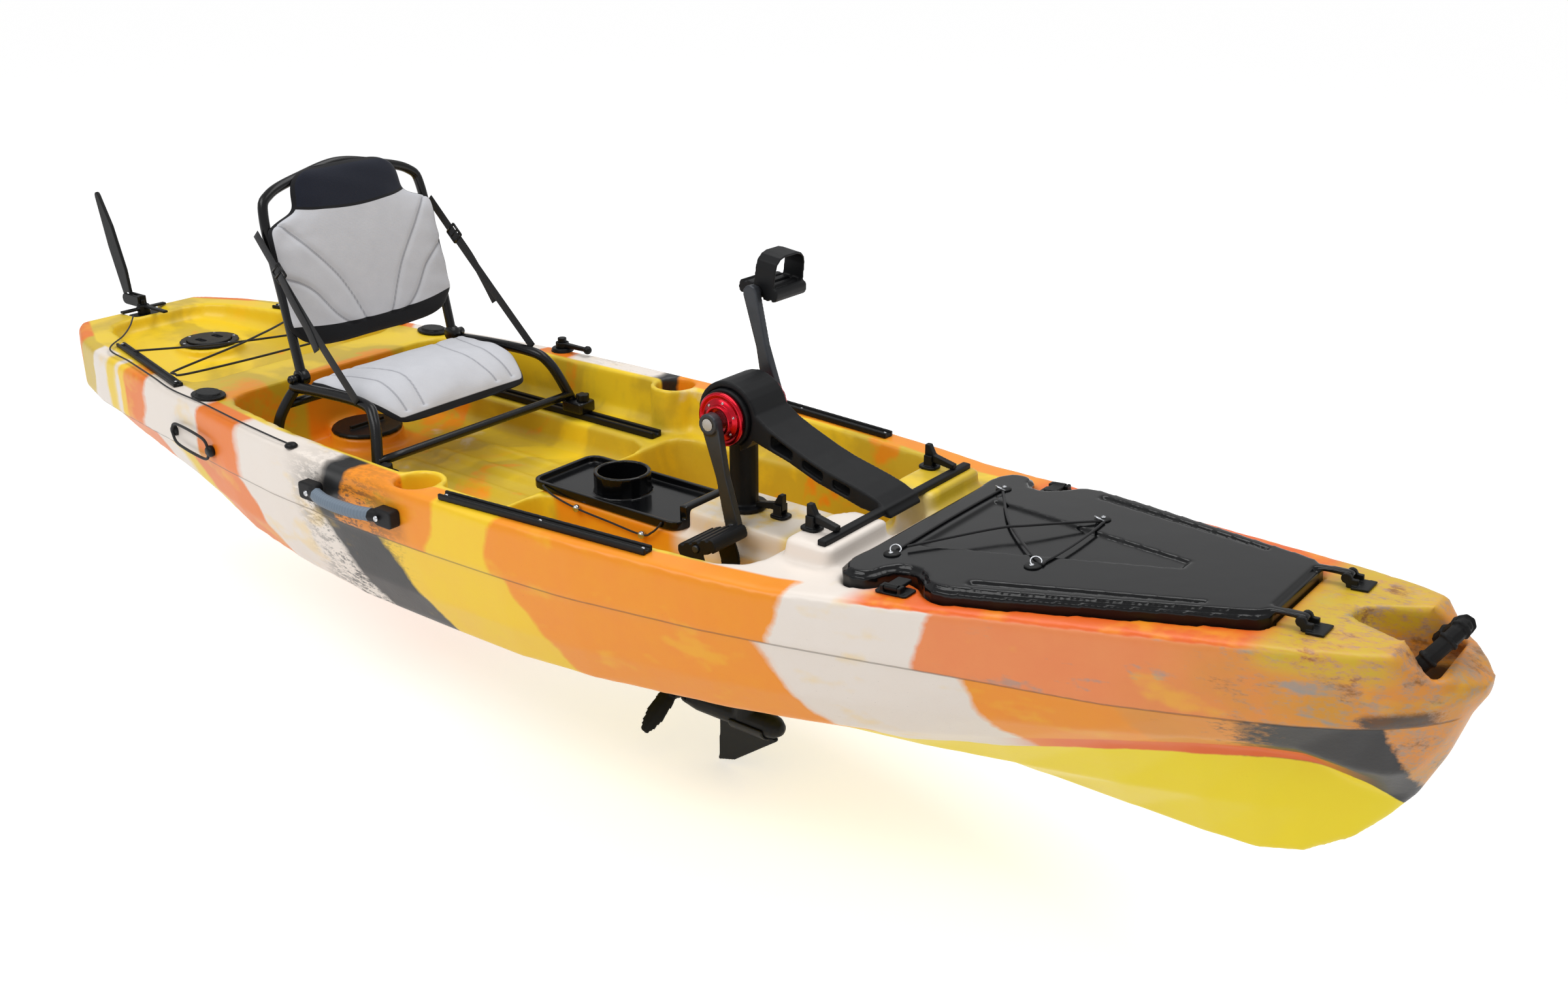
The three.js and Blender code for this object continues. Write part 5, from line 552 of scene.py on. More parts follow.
def brushed_metal(name, colour, roughness, stretch=(1, 1, 14), coat=0.0, metallic=1.0):
    """Metal with fine brush lines and faint stains."""
    look = Look(name, Metallic=metallic, Coat_Weight=coat)
    brush = look.noise(260, 3.0, 0.6, stretch=stretch)
    stain = look.noise(40, 4.0, 0.6)
    dark = tuple(c * 0.72 for c in colour)
    look.finish(look.blend(stain.rise(0.35, 0.8) * 0.55, colour, dark),
                roughness + (brush - 0.5) * 0.2 + (stain - 0.5) * 0.1, brush, 0.0001, 0.35)
    return look


def webbing(name, colour, fleck):
    """Woven tape: ribs along its own map, which runs in metres along U and across V."""
    look = Look(name, Sheen_Weight=0.15, Specular_IOR_Level=0.3)
    u, v, _ = look.axes(look.uv)
    along, across = (u * 620 * 6.28).wave(), (v * 620 * 4.2).wave()
    fuzz = look.noise(900, 3.0, 0.7)
    look.finish(look.blend((along * across * 0.6 + fuzz * 0.3).rise(0.2, 0.8) * 0.7, colour, fleck),
                0.62 + fuzz * 0.22, along * 0.6 + across * 0.5 + fuzz * 0.2, 0.0004, 0.8)
    return look


def braided(name, colour, fleck):
    """Braided cord cover: two families of strands on the cord's map, U along and V round."""
    look = Look(name, Sheen_Weight=0.1, Specular_IOR_Level=0.3)
    u, v, _ = look.axes(look.uv)
    strands = (u * 1500 + v * 37.7).maths("SINE") * (u * 1500 - v * 37.7).maths("SINE") * 0.5 + 0.5
    fuzz = look.noise(1200, 2.0, 0.7)
    look.finish(look.blend(strands.rise(0.2, 0.9) * 0.6, colour, fleck), 0.58 + fuzz * 0.25,
                strands + fuzz * 0.2, 0.00035, 0.8)
    return look


HULL = marbled_hull()
BLACK = moulded_plastic("black_moulded_plastic", shade(16, 17, 18), specular=0.22)
SATIN = moulded_plastic("satin_black_plastic", shade(15, 16, 18), 0.3, grain=500, depth=0.00015, specular=0.3)
MATTE = moulded_plastic("matte_black_arm", shade(19, 20, 22), 0.5, grain=1300, depth=0.0002, specular=0.2)
GLOSS = glossy_plastic()
RUBBER = moulded_plastic("black_rubber", shade(17, 17, 18), 0.62, grain=700, depth=0.0003, specular=0.22)
CRANK = brushed_metal("painted_crank_alloy", shade(62, 65, 70), 0.38, metallic=0.55)
RED = brushed_metal("red_anodised_alloy", shade(206, 26, 44), 0.26, stretch=(1, 1, 1), coat=0.2)
STEEL = brushed_metal("stainless_steel", shade(196, 198, 202), 0.24)
TUBE = moulded_plastic("powder_coated_tube", shade(12, 12, 14), 0.26, grain=800, depth=0.00012, specular=0.35)
WEB = webbing("black_webbing", shade(34, 35, 38), shade(12, 12, 14))
CORD = braided("black_braided_cord", shade(24, 24, 26), shade(60, 60, 62))
SLOT_LOOKS = {"black_plastic": BLACK, "gloss_black": GLOSS, "black_rubber": RUBBER}


# Studio
def studio():
    """A pale floor that keeps the shadow, an even world and two wide soft lamps."""
    world = bpy.data.worlds.new("studio_world")
    bpy.context.scene.world = world
    world.use_nodes = True
    tree = world.node_tree
    background = tree.nodes["Background"]
    path = tree.nodes.new("ShaderNodeLightPath")
    seen = tree.nodes.new("ShaderNodeMath")
    seen.operation = "MAXIMUM"
    tree.links.new(path.outputs["Is Camera Ray"], seen.inputs[0])
    tree.links.new(path.outputs["Is Transmission Ray"], seen.inputs[1])
    level = tree.nodes.new("ShaderNodeMapRange")
    level.inputs["To Min"].default_value, level.inputs["To Max"].default_value = 0.55, 1.0
    tree.links.new(seen.outputs[0], level.inputs["Value"])
    tree.links.new(level.outputs[0], background.inputs["Strength"])
    background.inputs["Color"].default_value = (1, 1, 1, 1)
    for name, place, target, size, power in (
            ("key_light", (-0.6, -2.6, 3.4), (0, 0, 0.2), (3.2, 1.6), 62),
            ("top_light", (0.4, 1.2, 3.6), (0.1, 0, 0.2), (4.0, 1.6), 56)):
        data = bpy.data.lights.new(name, "AREA")
        data.shape, data.size, data.size_y, data.energy = "RECTANGLE", size[0], size[1], power
        lamp = placed(name, data)
        lamp.location = place
        lamp.rotation_euler = (Vector(target) - Vector(place)).to_track_quat("-Z", "Y").to_euler()
    floor_look = Look("pale_floor", Roughness=0.9, Specular_IOR_Level=0.1)
    grain = floor_look.noise(3.0, 2.0)
    floor_look.feed("Base Color", floor_look.blend(grain * 0.3, (0.9, 0.9, 0.9), (0.88, 0.88, 0.88)))
    camera, glossy, through = (floor_look.node("ShaderNodeLightPath", outlet=outlet)
                               for outlet in ("Is Camera Ray", "Is Glossy Ray", "Is Transmission Ray"))
    seen_ray = camera.maths("MAXIMUM", glossy).maths("MAXIMUM", through)
    floor_look.feed("Emission Color", floor_look.blend(seen_ray, (0, 0, 0), (1, 1, 1)))
    floor_look.shader.inputs["Emission Strength"].default_value = 0.5
    corners = [(x * FLOOR_HALF, y * FLOOR_HALF, FLOOR_Z) for x, y in ((-1, -1), (1, -1), (1, 1), (-1, 1))]
    put("floor", corners, [(0, 1, 2, 3)], floor_look, smooth=False)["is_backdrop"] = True


studio()


# Hull
FORE_X, FORE_Z, SLOPE_X, SLOPE_Z = 0.620, 0.350, 0.99667, 0.081546
HULL_VOXEL, HULL_TRIANGLES = 0.0068, 195000


def on_foredeck(points):
    """Points in millimetres along the foredeck's slope, as metres in the boat's frame."""
    x, y, z = np.moveaxis(np.asarray(points, float) * MM, -1, 0)
    return np.stack([FORE_X + x * SLOPE_X - z * SLOPE_Z, y, FORE_Z + x * SLOPE_Z + z * SLOPE_X], -1)


HATCH_AFT, HATCH_FRONT, HATCH_HALF = 84, 712, 260
HATCH_MOUTH = [(0, 0.785), (0.167, 0.785), (0.31, 0.91), (0.445, 0.85), (0.94, 0.47), (1, 0.4)]


def loop_of(side, count):
    """A smooth closed outline from its starboard half, mirrored to port."""
    side = np.concatenate([[(side[0][0], 0)], side, [(side[-1][0], 0)]]).astype(float)
    return curve(np.concatenate([side, side[-2:0:-1] * (1, -1)]), count, loop=True)


def hatch_mouth(inset, count=120):
    """The opening inside the lid's edge, moved in by the inset."""
    side = [(min(max(HATCH_AFT + share * (HATCH_FRONT - HATCH_AFT), HATCH_AFT + inset), HATCH_FRONT - inset),
             out * HATCH_HALF - inset) for share, out in HATCH_MOUTH]
    return loop_of(side, count)


def hull_plugs():
    """Closed shells that fill the cavity's mouths, so that the remeshed skin is one closed form."""
    inner, outer = hatch_mouth(38), hatch_mouth(25)
    tub = [on_foredeck(np.column_stack([rim, np.full(len(rim), z)]))
           for rim, z in ((outer, -128), (outer, -17), (inner, -17), (inner, -118))]
    parts = [closed(tub)]
    plate_roof, seat_hatch_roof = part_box("tank_hatch_ring")[1].z - 0.006, 0.222
    for x, roof, radius, low in ((-1.292, plate_roof, 0.063, -0.026), (-0.732, seat_hatch_roof, 0.068, -0.024)):
        parts.append(turned([(radius, low), (radius, -0.003)], (x, 0, roof), count=32))
    parts.append(turned([(0.011, 0), (0.011, 0.009)], (-1.574, -0.096, 0.292), (1, 0, 0), 20))
    for side in (-1, 1):
        top = np.array([-0.846, side * 0.300, 0.344])
        foot = top + np.array([-0.0176, -side * 0.0044, -0.0396])
        parts.append(closed(swept([top, foot], ring(0.027, 20), up=(0, 1, 0))))
    return parts


def coordinates(mesh):
    """The mesh's points as rows of x, y and z."""
    points = np.empty(len(mesh.vertices) * 3)
    mesh.vertices.foreach_get("co", points)
    return points.reshape(-1, 3)


def largest_shell(mesh):
    """The faces and points of a mesh's biggest connected shell."""
    count = len(mesh.vertices)
    edges = np.empty(len(mesh.edges) * 2, int)
    mesh.edges.foreach_get("vertices", edges)
    one, two = edges.reshape(-1, 2).T
    label = np.arange(count)
    while True:
        low = np.minimum(label[one], label[two])
        fresh = label.copy()
        np.minimum.at(fresh, one, low)
        np.minimum.at(fresh, two, low)
        fresh = fresh[fresh]
        if (fresh == label).all():
            break
        label = fresh
    names, sizes = np.unique(label, return_counts=True)
    keep = label == names[sizes.argmax()]
    number = np.cumsum(keep) - 1
    faces = [[number[v] for v in face.vertices] for face in mesh.polygons if keep[face.vertices[0]]]
    return coordinates(mesh)[keep], faces


def hull_piece():
    """The CAD hull's outer skin with every edge rounded as a rotomoulding is."""
    copy = merged_copy("hull_copy", "hull")
    shell = coordinates(copy.data), [list(face.vertices) for face in copy.data.polygons]
    raw = put("hull_raw", *merge([shell, *hull_plugs()]))
    bpy.data.objects.remove(copy)
    moulded(raw, HULL_VOXEL, 2)
    points, faces = largest_shell(raw.data)
    bpy.data.objects.remove(raw)
    piece = put("hull_skin", points, faces, HULL)
    wanted = HULL_TRIANGLES / sum(len(face) - 2 for face in faces)
    if wanted < 1:
        thin = piece.modifiers.new("thin", "DECIMATE")
        thin.ratio = wanted
        baked(piece)
    fit(piece, "boat", "hull_plastic", "hull")


hull_piece()


# Rigid pieces in their moulded form
def skin(node, voxel, passes=3, look=None):
    """The node's own shape with the small radii that moulding leaves on its edges."""
    piece = merged_copy(f"{node}_skin", node)
    moulded(piece, voxel * MM * (1), passes)
    piece.data.materials.append((look or SLOT_LOOKS[SLOT_OF[node]]).material)
    fit(piece, BODY_OF[node], SLOT_OF[node], node)


def two_tone_grip():
    """Grey rubber grip between black moulded end caps, told apart along the boat."""
    look = Look("grip_and_caps", Specular_IOR_Level=0.3)
    x, _, _ = look.axes()
    grain = look.noise(700, 2.0, 0.6)
    cap = 1 - x.within(-0.338, -0.182, 0.001)
    rib = (x * 900).wave() * (1 - cap)
    look.finish(look.blend(cap, look.blend(rib * 0.25, shade(118, 132, 146), shade(88, 100, 114)), shade(16, 16, 18)),
                0.55 + grain * 0.12, grain * 0.3 + rib, 0.0006, 0.7)
    return look


GRIP = two_tone_grip()
for side in ("starboard", "port"):
    skin(f"side_handle_{side}", 1.7, 4, GRIP)
    for node, voxel in (("gear_track", 1.5), ("tank_track", 1.3), ("seat_rail", 1.6), ("hatch_hinge", 1.2),
                        ("hatch_latch_base", 1.2), ("hatch_latch_lever", 1.2), ("drive_latch_base", 1.3),
                        ("drive_latch_lever", 1.3), ("seat_knob", 1.0), ("rod_holder", 1.5)):
        skin(f"{node}_{side}", voxel)
    skin(f"crank_{side}", 1.5, 5, CRANK)
    skin(f"pedal_{side}", 1.6, 3, MATTE)
for node, voxel, passes in (("bow_handle", 1.5, 3), ("tank_hatch_ring", 1.3, 5), ("tank_hatch_lid", 1.3, 5),
                            ("seat_hatch_lid", 1.3, 5), ("console_tray", 2.0, 6), ("front_hatch_lid", 2.8, 5),
                            ("drive_latch_base_well", 1.2, 3), ("drive_latch_lever_well", 1.2, 3),
                            ("steering_base", 1.2, 3), ("steering_lever", 1.2, 3), ("rudder_bracket", 1.4, 3),
                            ("rudder_yoke", 1.4, 3), ("rudder_blade", 1.6, 4), ("drain_plug", 1.0, 3)):
    skin(node, voxel, passes)
skin("drive_housing", 2.2, 5, MATTE)
skin("drive_arm", 2.2, 4, MATTE)
skin("propeller", 1.6)
skin("skeg_fin", 2.2)


# Maps, cords and webbing
def with_map(piece, pairs):
    """Gives a piece its own map from one (u, v) pair for each point."""
    pairs = np.asarray(pairs, float).reshape(-1, 2)
    layer = piece.data.uv_layers.new(name="UVMap")
    spots = np.empty(len(piece.data.loops), int)
    piece.data.loops.foreach_get("vertex_index", spots)
    layer.data.foreach_set("uv", pairs[spots].ravel())
    return piece


def lengths(path):
    """The length from the path's start to each of its points."""
    return np.concatenate([[0], np.cumsum(np.linalg.norm(np.diff(path, axis=0), axis=1))])


def strand(path, section, values, up=(0, 0, 1)):
    """A section swept along a path: its shell, and its map with U in metres along it and V one value a point."""
    shell = closed(swept(path, section, up))
    along = lengths(path)
    pairs = np.stack(np.broadcast_arrays(along[:, None], np.asarray(values)[None]), -1).reshape(-1, 2)
    return shell, np.concatenate([pairs, [[0, 0], [along[-1], 0]]])


def rope(path, radius, count=10):
    """A round cord along a path, with V once round it."""
    return strand(path, ring(radius, count), np.arange(count) / count)


def mapped(name, shell, pairs, look, body, slot, *nodes):
    """A finished piece that has its own map."""
    piece = with_map(put(name, *shell, look), pairs)
    return fit(outward(piece), body, slot, *nodes)


def bolt(place, axis, radius=0.0045, height=0.0025):
    """A domed screw head with a shallow socket."""
    return turned([(radius * 0.9, -0.002), (radius, 0), (radius, height * 0.4), (radius * 0.8, height * 0.85),
                   (radius * 0.42, height), (radius * 0.4, height * 0.45), (radius * 0.05, height * 0.4)],
                  place, axis, 20)


def bead(place, radius, axis):
    """A ball turned about an axis through its middle."""
    turn = np.linspace(0.05, math.pi - 0.05, 14)
    return turned(np.stack([np.sin(turn) * radius, -np.cos(turn) * radius], -1), place, axis, 24)


def ring_of(centre, axis, radius, wire, count=28):
    """A closed ring of round wire."""
    axis, radial = radials(axis, count)
    path = np.asarray(centre, float) + radius * radial
    grid = swept(path, ring(wire, 10), up=axis, loop=True)
    return grid.reshape(-1, 3), grid_faces(count, 10, rows_wrap=True)


def cord_piece(name, node, points, radius, count):
    """A held cord on the route of its node."""
    shell, pairs = rope(curve(points, count), radius)
    mapped(name, shell, pairs, CORD, BODY_OF[node], SLOT_OF[node], node)


DECK_Z, WEB_GAP, WEB_EYE, WEB_RADIUS = 0.350, 0.0006, 0.008, 0.0025
TANK_Z = DECK_Z + WEB_GAP + WEB_EYE + WEB_RADIUS
tank_route = [(-1225, -232, 0), (-1130, -70, -4), (-1050, 120, -4), (-1010, 266, 0), (-1030, 272, 2), (-1180, 250, 2),
              (-1205, 240, 2), (-1190, 200, 4), (-1110, 60, 10), (-1080, 0, 12), (-1050, -90, 10), (-1015, -262, 3),
              (-1000, -275, 2), (-985, -262, 0), (-975, -120, -2), (-968, 60, -2), (-960, 280, 0)]
cord_piece("tank_bungee_cord", "tank_bungee", np.array(tank_route) * MM + (0, 0, TANK_Z), WEB_RADIUS, 260)
line_route = [(-1500, -62, 7), (-1440, -108, 4), (-1370, -168, 6), (-1290, -250, 8), (-1180, -272, 6),
              (-1040, -304, 6), (-930, -330, 6), (-800, -345, 7), (-640, -366, 6), (-520, -380, 6), (-461, -383, 4.3)]
cord_piece("rudder_line_cord", "rudder_line", np.array(line_route) * MM + (0, 0, DECK_Z), 0.0018, 200)
made("pad_eye", merge([turned([(0.012, 0), (0.0125, 0.003), (0.009, 0.007), (0.004, 0.0085), (0.0008, 0.0086)],
                              (-0.461, -0.383, 0.3503), count=28)]), BLACK, "boat", "black_plastic")
console_route = [(-96, -90.4, 13), (-86, -93.4, 9), (-58, -97, 1), (-3, -97, -9), (80, -97, -15), (161, -97, -20),
                 (186, -97, -9), (200, -93.4, 5), (204, -90.4, 13)]
console_path = np.array(console_route) * MM + (0, 0, 0.255)
cord_piece("console_bungee_cord", "console_bungee", console_path, 0.002, 90)
made("console_beads", merge([bead(console_path[k], 0.0075, (1, 0, 0)) for k in (3, 5)]), STEEL, "boat",
     "black_rubber")
hatch_route = [(136, -156, 24.3), (133, 0, 24.3), (136, 156, 24.3), (148, 148, 24.3), (231, 26, 24.3),
               (350, -96, 24.3), (360, -87, 24.3), (364, 0, 24.3), (360, 87, 24.3), (350, 96, 25.3), (271, 12, 32.3),
               (231, -26, 32.3), (148, -144, 28.3)]
cord_piece("hatch_bungee_cord", "hatch_bungee", on_foredeck(hatch_route), 0.0022, 200)
eye_pads, eye_rings = [], []
for x, y in ((136, -156), (136, 156), (350, -99), (350, 99)):
    way = 1 if y > 0 else -1
    low, top = on_foredeck([(x, y + way * 14, 21.5), (x, y + way * 14, 25)])
    eye_pads.append(turned([(0.0135, 0), (0.0135, 0.0022), (0.012, 0.0034), (0.001, 0.0036)], low, top - low, 28))
    eye_rings.append(ring_of(on_foredeck([(x, y + way * 4, 27)])[0], (0.25, way * 0.5, 1), 0.0085, 0.0014))
    eye_rings.append(bolt(on_foredeck([(x, y + way * 17, 25.4)])[0], top - low, 0.004, 0.002))
made("hatch_eye_pads", merge(eye_pads), BLACK, "front_lid", "black_plastic")
made("hatch_eye_rings", merge(eye_rings), STEEL, "front_lid", "steel")


def paddle_loop():
    """The loop's two strands along the side, which bow away from each other between the plugs."""
    spots = np.array([-0.5, -0.42, -0.2, 0.2, 0.42, 0.5])
    lift = np.array([0, 0.8, 1, 1, 0.8, 0])
    x = -0.847 + spots * 0.168
    out = np.interp(x, *np.array(BEAM_LINE).T)
    shells, maps = [], []
    for way in (1, -1):
        path = curve(np.stack([x, -(out + 0.010), 0.268 + way * lift * 0.024], -1), 40)
        shell, pairs = rope(path, 0.003)
        shells.append(shell)
        maps.append(pairs)
    return merge(shells), np.concatenate(maps)


loop_shell, loop_map = paddle_loop()
mapped("paddle_loop_cord", loop_shell, loop_map, CORD, "boat", "black_rubber", "paddle_loop")
made("paddle_loop_plugs", merge([turned([(0.011, -0.002), (0.012, 0.001), (0.012, 0.006), (0.009, 0.0095),
                                         (0.001, 0.0098)], (x, -y, 0.268), (0, -1, 0), 28)
                                 for x, y in ((-0.931, 0.3315), (-0.763, 0.3625))]), BLACK, "boat", "black_plastic")


# Seat
BACK_PLACE, BACK_LEAN, HOOP_HIGH, PANEL_HALF = (-0.662, 0.0, 0.402), 0.2, 404, 218
PUFF_PRESSURE, PUFF_FRAMES, PUFF_CAP = 4.0, 20, 0.006
SEAM_DEPTH, SEAM_WIDTH, CREASE_DEPTH, CREASE_REACH = 0.0034, 0.0065, 0.0007, 0.06
BACK_SHARES = [(0.109, 0.6), (0.124, 0.72), (0.15, 0.85), (0.188, 0.92), (0.238, 0.985), (0.3, 1), (0.733, 0.99),
               (0.757, 0.95), (0.777, 0.84), (0.797, 0.72), (0.822, 0.665), (0.866, 0.645), (0.94, 0.62),
               (0.985, 0.55), (1.005, 0.45), (1.015, 0.34)]


def on_back(points):
    """Points in millimetres forward, port and up on the leaning back, as metres in the boat's frame."""
    ahead, y, up = np.moveaxis(np.asarray(points, float) * MM, -1, 0)
    c, s = math.cos(BACK_LEAN), math.sin(BACK_LEAN)
    return np.stack([BACK_PLACE[0] + ahead * c - up * s, y, BACK_PLACE[2] + ahead * s + up * c], -1)


def near(path, u, v):
    """Distance of every (u, v) to a chain of points."""
    path = np.asarray(path, float)
    best = np.full(np.shape(u), np.inf)
    for (ax, ay), (bx, by) in zip(path, path[1:]):
        size = max((bx - ax) ** 2 + (by - ay) ** 2, 1e-9)
        share = np.clip(((u - ax) * (bx - ax) + (v - ay) * (by - ay)) / size, 0, 1)
        best = np.minimum(best, np.hypot(u - ax - share * (bx - ax), v - ay - share * (by - ay)))
    return best


def cushion(name, front, rear, u, v, edge, seams, reach, look, body, node):
    """A closed pad from a front and a rear grid, puffed by a cloth simulation, with sewn lines pressed in after."""
    piece = put(name, *closed(np.concatenate([front, rear[:, ::-1]], 1)), look)

    def spread(values, back_value=None):
        back = values[:, ::-1] if back_value is None else np.full_like(values, back_value)
        whole = np.concatenate([values, back], 1)
        return np.concatenate([whole.reshape(-1), [whole[0].mean(), whole[-1].mean()]])

    with_map(piece, np.stack([spread(u), spread(v)], -1) * MM)
    for key, values in (("edge", spread(edge) * MM), ("across", spread(u)), ("along", spread(v)),
                        ("face", spread(np.ones_like(u), 0.0))):
        piece.data.attributes.new(key, "FLOAT", "POINT").data.foreach_set("value", values)
    outward(piece)
    puff(piece)
    smooth = piece.modifiers.new("smooth", "SUBSURF")
    smooth.levels = smooth.render_levels = 2
    baked(piece)
    relief(piece, seams, reach)
    piece.data.shade_smooth()
    fit(piece, body, "grey_cloth", node)


def puff(piece):
    """Inflates a closed pad with Blender's cloth, and keeps each point near its start."""
    scene = bpy.context.scene
    start = coordinates(piece.data)
    cloth = piece.modifiers.new("cloth", "CLOTH")
    cloth.settings.use_pressure = True
    cloth.settings.uniform_pressure_force = PUFF_PRESSURE
    cloth.settings.effector_weights.gravity = 0.0
    cloth.settings.quality = 5
    cloth.point_cache.frame_start, cloth.point_cache.frame_end = 1, PUFF_FRAMES
    for step in range(1, PUFF_FRAMES + 1):
        scene.frame_set(step)
    sources = bpy.context.evaluated_depsgraph_get()
    moved = coordinates(piece.evaluated_get(sources).to_mesh()) - start
    piece.modifiers.clear()
    scene.frame_set(1)
    size = np.linalg.norm(moved, axis=1, keepdims=True)
    moved *= np.minimum(1, PUFF_CAP / np.maximum(size, 1e-9))
    piece.data.vertices.foreach_set("co", (start + moved).ravel())
    piece.data.update()


def values_of(mesh, key):
    """One attribute of every point."""
    values = np.empty(len(mesh.vertices))
    mesh.attributes[key].data.foreach_get("value", values)
    return values


def relief(piece, seams, reach):
    """Presses sewn lines into the face along each point's normal, and leaves soft creases beside the rim."""
    mesh = piece.data
    across, along, face, edge = (values_of(mesh, key) for key in ("across", "along", "face", "edge"))
    seam = np.minimum.reduce([near(curve(path, 40), across, along) for path in seams])
    seam = np.where((along < reach[0]) | (along > reach[1]) | (face < 0.5), 100.0, seam) * MM
    mesh.attributes.new("seam", "FLOAT", "POINT").data.foreach_set("value", seam)
    normal = np.empty(len(mesh.vertices) * 3)
    mesh.vertices.foreach_get("normal", normal)
    crease = CREASE_DEPTH * np.sin(along * 0.11 + across * 0.045) * np.exp(-(edge / CREASE_REACH) ** 2) * face
    press = SEAM_DEPTH * np.exp(-(seam / SEAM_WIDTH) ** 2)
    points = coordinates(mesh) + normal.reshape(-1, 3) * (crease - press)[:, None]
    mesh.vertices.foreach_set("co", points.ravel())
    mesh.update()


def seat_cloth(name, head=None, low=None):
    """Grey jersey-faced foam with black binding and sewn lines, with painted shade inside the pressed seam grooves, a
    navy head panel and a black lumbar panel.
    """
    look = Look(name, Sheen_Weight=0.12, Sheen_Roughness=0.5, Specular_IOR_Level=0.2)
    u, v, _ = look.axes(look.uv)
    edge, seam = (look.node("ShaderNodeAttribute", {"attribute_name": key}, outlet=2) for key in ("edge", "seam"))
    knit = look.noise(1500, 2.0, 0.6)
    mottle = look.noise(24, 4.0, 0.6)
    rows = (v * 2200).wave()
    grey = look.blend(((knit - 0.5) + (mottle - 0.5) * 0.5 + 0.45).rise(0.1, 0.9) * 0.5, shade(206, 207, 212),
                      shade(172, 174, 181))
    # painted shade: the grey darkens towards the middle of each pressed seam groove
    colour = look.blend((1 - seam.rise(0.0012, 0.0036)) * 0.55, grey, shade(120, 122, 130))
    dark = 1 - edge.rise(0.0062, 0.0072)
    if head:
        arc = v - head + (u * u) * -0.9
        over = arc.rise(-0.0006, 0.0006)
        colour = look.blend(over, colour, look.blend(knit * 0.5, shade(30, 34, 47), shade(17, 20, 29)))
        dark = dark.maths("MAXIMUM", arc.within(-0.005, 0.001, 0.0004))
    if low:
        under = 1 - (v - low - u * u * 0.35).rise(-0.0006, 0.0006)
        colour = look.blend(under, colour, look.blend(knit * 0.5, shade(20, 21, 25), shade(12, 12, 15)))
    colour = look.blend(dark, colour, look.blend(rows * 0.5, shade(22, 23, 27), shade(12, 12, 15)))
    stitch = ((u + v) * 1400).maths("SINE") * (1 - seam.rise(0.002, 0.004))
    look.finish(colour, 0.86 - dark * 0.14 + (mottle - 0.5) * 0.1,
                knit * 0.45 + rows * 0.2 + mottle * 0.6 + stitch * 0.6, 0.0005, 0.6)
    return look


def crowded(count):
    """Shares from -1 to 1 that stand closer together towards both ends, as a sine does."""
    turn = math.pi / 2 * 0.98
    return np.sin(np.linspace(-1, 1, count) * turn) / math.sin(turn)


def back_cover():
    """Half width over height from the outline's shares; the face swells from the rim and is crowned."""
    rows = 44
    high = np.linspace(BACK_SHARES[0][0], BACK_SHARES[-1][0], rows) * HOOP_HIGH
    fine = np.linspace(high[0], high[-1], 400)
    half = np.interp(fine / HOOP_HIGH, *np.array(BACK_SHARES).T) * PANEL_HALF
    half = np.convolve(np.pad(half, 7, "edge"), np.ones(15) / 15, "valid")
    half = np.interp(high, fine, half)
    side = crowded(34)
    u, v = half[:, None] * side, np.broadcast_to(high[:, None], (rows, len(side)))
    rim = np.minimum((1 - np.abs(side))[None] * half[:, None], np.minimum(v - high[0], high[-1] - v) + 0.5)
    swell = 13 * (1 - np.exp(-rim / 7)) + 9 * (1 - side ** 2) * np.sin(math.pi * (v - high[0]) / (high[-1] - high[0]))
    top, middle, low = high[-1], high[0] + (high[-1] - high[0]) / 3, high[0]
    seams = []
    for way in (-1, 1):
        seams.append([(way * 191, top * 0.75), (way * 100, middle + 40), (way * 62, middle - 20),
                      (way * 27, low + 20)])
        seams.append([(way * 218, top * 0.5), (way * 150, middle), (way * 100, middle * 0.62), (way * 52, low + 20)])
    front = on_back(np.stack([11 + swell, u, v], -1))
    rear = on_back(np.stack([np.full_like(u, 10.6), u * 0.985, v], -1))
    cushion("seat_back_cover", front, rear, u, v, rim, seams, (low + 30, 0.75 * top),
            seat_cloth("seat_back_cloth", 0.318, 0.082), "seat_back", "seat_back_panel")


def pan_cover():
    """The sling between the side tubes: rounded corners, a crown, and a front edge that droops."""
    along = np.linspace(0, 1, 30)
    x = -642 + 242 * along
    corner = np.maximum(20 - np.minimum(x + 642, -400 - x), 0)
    fall = np.maximum((x + 510) / 110, 0)
    half = 210.5 + (168 - 210.5) * fall ** 2 - corner ** 2 / 40
    side = crowded(36)
    u = half[:, None] * side
    v = np.broadcast_to(x[:, None], u.shape)
    rim = np.minimum((1 - np.abs(side))[None] * half[:, None], np.minimum(v + 642, -400 - v) + 0.5)
    level = (350 + 54 - 15 - 50 * fall ** 2)[:, None]
    crown = 9 * (1 - side ** 2)[None] * np.sin(math.pi * np.clip(along, 0.02, 1))[:, None]
    swell = 14 * (1 - np.exp(-rim / 7)) + crown
    seams = [[(way * out, at) for out, at in zip(line, (-642, -560, -490, -402))]
             for line in ((118, 92, 84, 100), (176, 152, 140, 142)) for way in (-1, 1)]
    front = np.stack([v, u, level + swell], -1) * MM
    rear = np.stack([v, u * 0.985, level + 0 * u - 0.5], -1) * MM
    cushion("seat_pan_cover", front, rear, u, v, rim, seams, (-630, -412), seat_cloth("seat_pan_cloth"),
            "seat", "seat_pan")


back_cover()
pan_cover()


